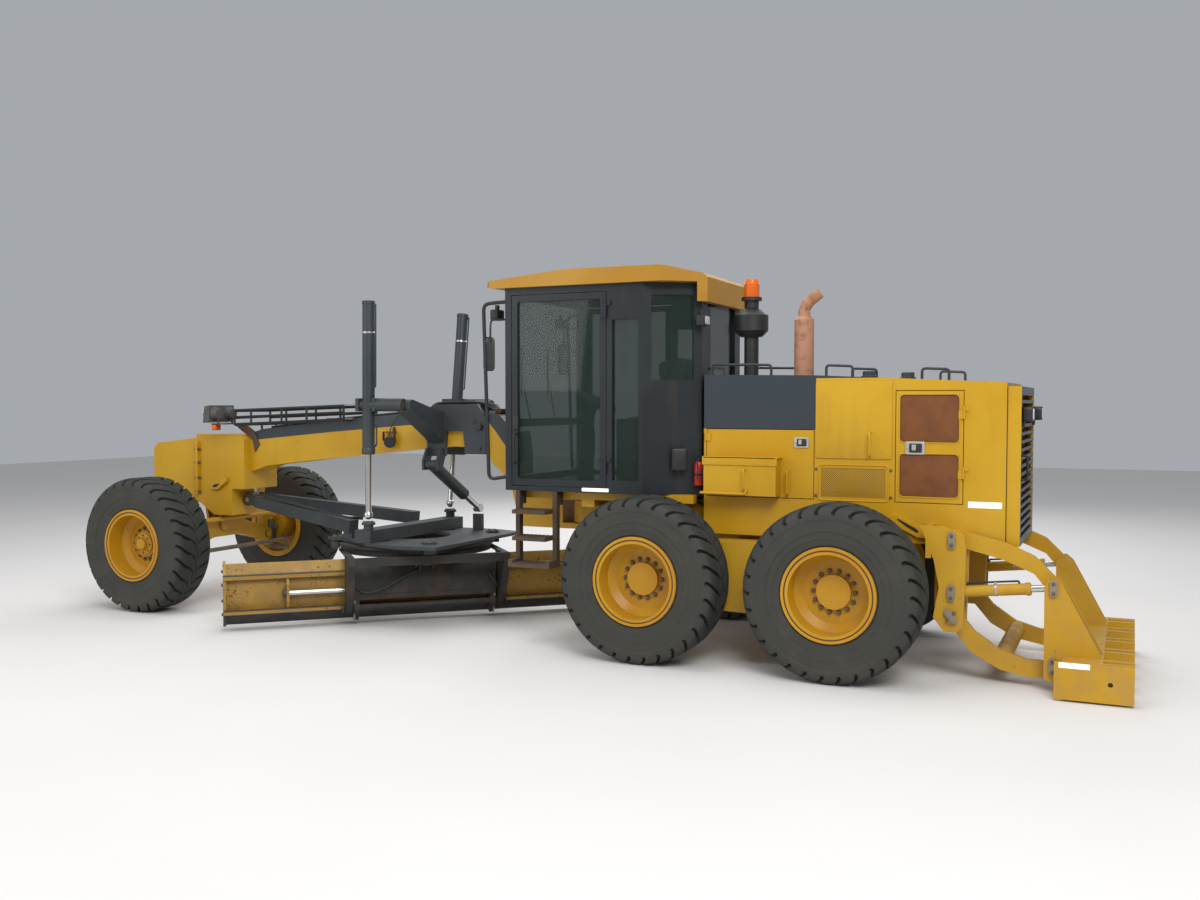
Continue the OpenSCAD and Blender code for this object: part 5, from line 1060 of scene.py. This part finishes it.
v, z = bladeParts["edgeMiddle"]
slope = bladeParts["edgeSlope"]
facing = acrossBlade * slope[0] + np.array([0, 0, slope[1]])
edgePlaces = [onBlade(u + d, v, z) for u in np.arange(-1.73, 1.75, bladeParts["nutPitch"]) for d in (-0.024, 0.024)]
putPiece("cutting_edge_nuts", boltHeads(edgePlaces, facing, 0.012, 0.013), "blade", "bright_rod", nutSteel,
         smooth=30)
endBolts = []
for u, side in zip(bladeParts["ends"], (-1, 1)):
    angles = np.radians(bladeParts["endBolts"])
    places = [onCurve(u, bladeParts["endRadius"], angle) for angle in angles]
    endBolts.append(boltHeads(places, alongBlade * side, 0.014, 0.013))
putPiece("blade_end_bolts", together(*endBolts), "blade", "bright_rod", nutSteel, smooth=30)
v, z = bladeParts["slide"]
slideRod = turned(disc(bladeParts["slideRadius"], 1.3385), onBlade(-0.10, v, z), alongBlade, 36)
putPiece("side_shift_rod", slideRod, "blade", "bright_rod")
nut = turned(chamfered(0.040, 0.028, 0.036, 0.032), onBlade(1.265, v, z), alongBlade, 6)
putPiece("side_shift_nut", nut, "blade", "dark_steel", edgeSteel, smooth=30)
gland = turned([(0.030, 0), (0.046, 0), (0.050, 0.004), (0.050, 0.018), (0.046, 0.022), (0.030, 0.022)],
               onBlade(0.698, v, z), alongBlade, 32)
loops = []
for drop in (0.0, 0.03):
    places = [(-0.62, -0.505, 0.46), (-0.60, -0.535, 0.44), (-0.65, -0.545 - drop, 0.36),
              (-0.71, -0.50, 0.30 - drop), (-0.735, -0.425, 0.315)]
    loops.append(tube(smoothPath([onBlade(*place) for place in places]), 0.010, 8))
pinCap = [(0, 0), (0.044, 0), (0.044, 0.010), (0.038, 0.014), (0.016, 0.014), (0.014, 0.020), (0, 0.020)]
pins = [turned(pinCap, onBlade(side * bladeParts["armEnd"], *bladeParts["tiltPin"]), alongBlade * side, 28)
        for side in (1, -1)]
putPiece("side_shift_gland", together(gland, *pins), "carriage", "worn_steel", edgeSteel)
putPiece("side_shift_hoses", together(*loops), "carriage", "intake_black", hoseRubber, smooth=60)

# Carriage: beads along the edges of its shell, a lug with a rusty pin at the top and a loop of hose hanging from it
shell = {"radius": 0.590, "from": 151, "to": 208, "ends": (-0.662, 0.662), "pin": (-0.528, 0.568),
         "lug": [(-0.455, 0.600), (-0.520, 0.618), (-0.560, 0.590), (-0.560, 0.545), (-0.520, 0.500),
                 (-0.480, 0.480)]}


def bladePlate(outline, low, high):
    # A plate square to the blade's length: its outline at both ends, closed there at its middle
    outline = np.asarray(outline, float)
    middle = outline * 0 + outline.mean(0)
    ends = ((low, middle), (low, outline), (high, outline), (high, middle))
    rings = [[onBlade(u, v, z) for v, z in ring] for u, ring in ends]
    return np.array(rings).reshape(-1, 3), gridFaces(4, len(outline), closeColumns=True)


beads = []
for u in shell["ends"]:
    angles = np.radians(np.linspace(shell["from"], shell["to"], 24))
    beads.append(tube(np.array([onCurve(u, shell["radius"], angle) for angle in angles]), 0.009, 8))
ears = [bladePlate(shell["lug"], low, low + 0.026) for low in (-0.075, 0.049)]
pin = turned(disc(0.026, 0.200), onBlade(-0.100, *shell["pin"]), alongBlade, 24)
head = turned(disc(0.036, 0.018), onBlade(0.090, *shell["pin"]), alongBlade, 6)
putPiece("carriage_edge_beads", together(*beads), "carriage", "worn_steel", keeperSteel, smooth=60)
putPiece("carriage_lug", together(*ears), "carriage", "worn_steel")
putPiece("carriage_lug_pin", together(pin, head), "carriage", "worn_steel", bracketRust, smooth=30)
hanging = [(0.06, -0.505, 0.52), (0.12, -0.545, 0.50), (0.26, -0.560, 0.43), (0.42, -0.560, 0.35),
           (0.56, -0.545, 0.320), (0.63, -0.520, 0.345), (0.655, -0.495, 0.38)]
loop = tube(smoothPath([onBlade(*place) for place in hanging]), 0.010, 8)
putPiece("carriage_hose", loop, "carriage", "intake_black", hoseRubber, smooth=60)

# Front axle: kingpin caps, lean pin caps and the hoses that drop from the head
axleParts = {"x": 6.156, "kingpinY": 0.72, "top": 0.790, "bottom": 0.470, "leanPin": (0.620, 0.600), "cheek": 0.070}
print("Finishing the front axle")
kingCap = [(0, 0), (0.056, 0), (0.056, 0.010), (0.050, 0.014), (0.022, 0.015), (0.020, 0.020), (0, 0.021)]
for side, letter, tag in ((1, "l", "_left"), (-1, "r", "_right")):
    top = turned(kingCap, at(axleParts["x"], axleParts["kingpinY"], axleParts["top"]), (0, 0, 1), 28)
    low = turned(kingCap, at(axleParts["x"], axleParts["kingpinY"], axleParts["bottom"]), (0, 0, -1), 28)
    capBolts = boltHeads([at(axleParts["x"] + dx, axleParts["kingpinY"] + dy, axleParts["top"] + 0.012)
                          for dx in (-0.030, 0.030) for dy in (-0.028, 0.028)], (0, 0, 1), 0.007, 0.007)
    putPiece("kingpin_caps" + tag, onSide(together(top, low), side), "fork_" + letter, "frame_yellow")
    putPiece("kingpin_cap_bolts" + tag, onSide(capBolts, side), "fork_" + letter, "bright_rod", nutSteel, smooth=30)
y, z = axleParts["leanPin"]
leanCaps = together(*[turned(chamfered(0.043, 0.008, 0.038, 0.012), at(axleParts["x"] + out, y, z), (out, 0, 0), 28)
                      for out in (axleParts["cheek"], -axleParts["cheek"])])
putPiece("lean_pin_caps", pair(leanCaps), "front", "knuckle_grey")
axleHoses = [hose([(5.93 + k * 0.03, 0.17, 1.03), (5.96 + k * 0.03, 0.215, 0.965), (6.00 + k * 0.02, 0.235, 0.885),
                   (6.075, 0.26 + k * 0.03, 0.835), (6.12, 0.34 + k * 0.03, 0.80 - k * 0.003)], 0.009, 8)
             for k in range(3)]
putPiece("axle_hoses", together(*axleHoses), "front", "intake_black", hoseRubber, smooth=60)

# Steps: gripping treads with raised rings
stepParts = {"left": (1.90, 1), "right": (1.65, -1), "levels": [0.690, 0.920, 1.150], "size": (0.318, 0.196, 0.006),
             "y": 0.800, "ringRadius": 0.011}
print("Laying the step treads, rear lamps, ripper pins and hoses")
for name in ("left", "right"):
    (x, side), radius = stepParts[name], stepParts["ringRadius"]
    tread = [slab(at(x, stepParts["y"], z + 0.002), stepParts["size"], 0.006, 0.002) for z in stepParts["levels"]]
    ring = turned([(radius, 0), (radius, 0.005), (radius * 0.7, 0.005), (radius * 0.7, 0)], (0, 0, 0), (0, 0, 1),
                  10)
    places = [at(x + dx, stepParts["y"] + dy, z + 0.004) for z in stepParts["levels"]
              for dx in np.linspace(-0.135, 0.135, 8) for dy in np.linspace(-0.07, 0.07, 4)]
    putPiece("step_treads_" + name, onSide(together(*tread, repeated(ring, places)), side), "chassis", "step_steel",
             smooth=30)

# Rear: lamps and handle on the grille door, ripper pins with keepers, hoses down to the ripper cylinders
rearParts = {"lamp": (-2.058, 0.46, 1.985), "lampSize": (0.07, 0.12, 0.11), "pinOut": 0.785,
             "beamPins": [(-2.27, 0.752, 0), (-2.27, 0.195, 0)],
             "framePins": [(-1.57, 1.062, 0), (-1.57, 0.672, 0), (-1.57, 0.500, -42)]}
x, y, z = rearParts["lamp"]
depth, width, height = rearParts["lampSize"]
case = together(slab(at(x, y, z), rearParts["lampSize"], 0.02, 0.010),
                slab(at(-2.028, y, z - 0.07), (0.018, 0.06, 0.05), 0.006, 0.003))
lens = slab(at(x - depth / 2 - 0.001, y, z), (0.010, width - 0.026, height - 0.026), 0.018, 0.004)
putPiece("rear_lamps", pair(case), "grille_door", "intake_black")
putPiece("rear_lamp_lenses", pair(lens), "grille_door", "lamp_housing", lensClear)
grip = rod([(-2.018, 0.50, 1.50), (-2.060, 0.50, 1.50), (-2.060, 0.50, 1.68), (-2.018, 0.50, 1.68)], 0.02, 0.009,
           10)
putPiece("grille_handle", grip, "grille_door", "grille_black", finishes["intake_black"])


def pinKeepers(pins, y):
    # On each pin a worn oval plate, leaning by so many degrees, and its two bolts
    plates, bolts = [], []
    for x, z, lean in pins:
        c, s = math.cos(math.radians(lean)), math.sin(math.radians(lean))
        points, faces = slab((0, 0, 0), (0.056, 0.012, 0.124), 0.027, 0.003)
        leaning = np.asarray(points) @ np.array([[c, 0, s], [0, 1, 0], [-s, 0, c]])
        plates.append((leaning + at(x, y + 0.005, z), faces))
        bolts += [at(x + s * d, y + 0.011, z + c * d) for d in (-0.034, 0.034)]
    return together(*plates), boltHeads(bolts, (0, 1, 0), 0.010, 0.009)


for name, pins, y, body in (("beam", rearParts["beamPins"], rearParts["pinOut"], "ripper_tool"),
                            ("frame", rearParts["framePins"], 0.790, "chassis")):
    plates, bolts = pinKeepers(pins, y)
    putPiece("ripper_pin_keepers_" + name, pair(plates), body, "frame_yellow", keeperSteel)
    putPiece("ripper_pin_bolts_" + name, pair(bolts), body, "bright_rod", nutSteel, smooth=30)

# Ripper cylinders: gland, clamp band and a pipe along each barrel, and a hose from the frame to each foot
ripper = {"pin": (-1.570, 0.700, 0.670), "along": (-0.9943, 0.0, 0.1065), "over": (0.1065, 0.0, 0.9943),
          "radius": 0.042, "band": 0.300, "pipe": 0.0075}
along, over = np.array(ripper["along"]), np.array(ripper["over"])


def onCylinder(distance, rise=0.0):
    # The pin, plus a distance along the cylinder, plus a rise square to it
    return at(*ripper["pin"]) + along * distance + over * rise


radius = ripper["radius"]
gland = turned([(radius - 0.008, 0), (radius + 0.005, 0), (radius + 0.006, 0.006), (radius + 0.006, 0.030),
                (radius, 0.036), (radius - 0.014, 0.037)], onCylinder(0.512), along, 32)
band = turned(hoop(radius - 0.001, radius + 0.0025, 0.014), onCylinder(ripper["band"]), along, 32)
buckle = slab(onCylinder(ripper["band"] + 0.007, radius + 0.009), (0.018, 0.026, 0.020), 0.004, 0.003)
pipe = tube(bent([onCylinder(0.470, radius - 0.004), onCylinder(0.470, radius + 0.018),
                  onCylinder(0.110, radius + 0.018), onCylinder(0.110, radius - 0.004)], 0.012), ripper["pipe"], 8)
putPiece("ripper_glands", pair(gland), "ripper_cyl", "frame_yellow")
putPiece("ripper_clamp_bands", pair(band, buckle), "ripper_cyl", "bright_rod", clampSteel)
putPiece("ripper_pipes", pair(pipe), "ripper_cyl", "intake_black", hoseRubber, smooth=60)
hoses = hose([(-1.455, 0.640, 0.860), (-1.500, 0.665, 0.850), (-1.560, 0.690, 0.790), (-1.620, 0.700, 0.745),
              (-1.648, 0.700, 0.708)], 0.011, 8)
putPiece("ripper_hoses", pair(hoses), "chassis", "intake_black", hoseRubber, smooth=60)

print("Lighting the studio")
floorSize = 60.0
u, v = np.meshgrid(np.linspace(-0.5, 0.5, 3), np.linspace(-0.5, 0.5, 3), indexing="ij")
mesh = bpy.data.meshes.new("floor")
mesh.from_pydata(np.stack([u * floorSize, v * floorSize, u * 0], -1).reshape(-1, 3).tolist(), [],
                 gridFaces(3, 3)[:, ::-1].tolist())
mesh.materials.append(plainFinish("floorPale", rgb(0.74, 0.72, 0.70), 0.85, vary=0.03, scale=0.8).material)
floor = bpy.data.objects.new("floor", mesh)
bpy.context.scene.collection.objects.link(floor)

lamps = {"key": ((-7.0, 9.0, 9.5), 1050, 6.0), "fill": ((7.5, 9.0, 6.0), 380, 8.0),
         "back": ((2.0, -10.0, 8.0), 560, 8.0), "top": ((0.0, 0.0, 12.0), 620, 9.0)}
for name, (place, power, size) in lamps.items():
    data = bpy.data.lights.new(name, "AREA")
    data.energy, data.size = power, size
    lamp = bpy.data.objects.new(name, data)
    lamp.location = place
    toward = np.array([0.0, 0.0, 1.0]) - np.array(place)
    lamp.rotation_euler = (math.atan2(math.hypot(toward[0], toward[1]), -toward[2]), 0,
                           math.atan2(toward[1], toward[0]) - math.pi / 2)
    bpy.context.scene.collection.objects.link(lamp)
world = bpy.data.worlds.new("softRoom")
world.use_nodes = True
world.node_tree.nodes["Background"].inputs["Color"].default_value = rgb(0.90, 0.94, 1.0)
world.node_tree.nodes["Background"].inputs["Strength"].default_value = 0.42
bpy.context.scene.world = world
bpy.context.scene.view_settings.view_transform = "Standard"

# Camera where the photograph was taken from: metres from the tandem's middle, degrees
camera = {"place": (-2.762, 9.421, 2.063), "heading": 205.07, "down": 2.33, "lens": 34.21, "sensor": 36.0}
data = bpy.data.cameras.new("photoCamera")
data.lens, data.sensor_width = camera["lens"], camera["sensor"]
photoCamera = bpy.data.objects.new("photoCamera", data)
photoCamera.location = at(*camera["place"])
photoCamera.rotation_euler = (math.radians(90 - camera["down"]), 0, math.radians(camera["heading"]))
bpy.context.scene.collection.objects.link(photoCamera)
bpy.context.scene.camera = photoCamera
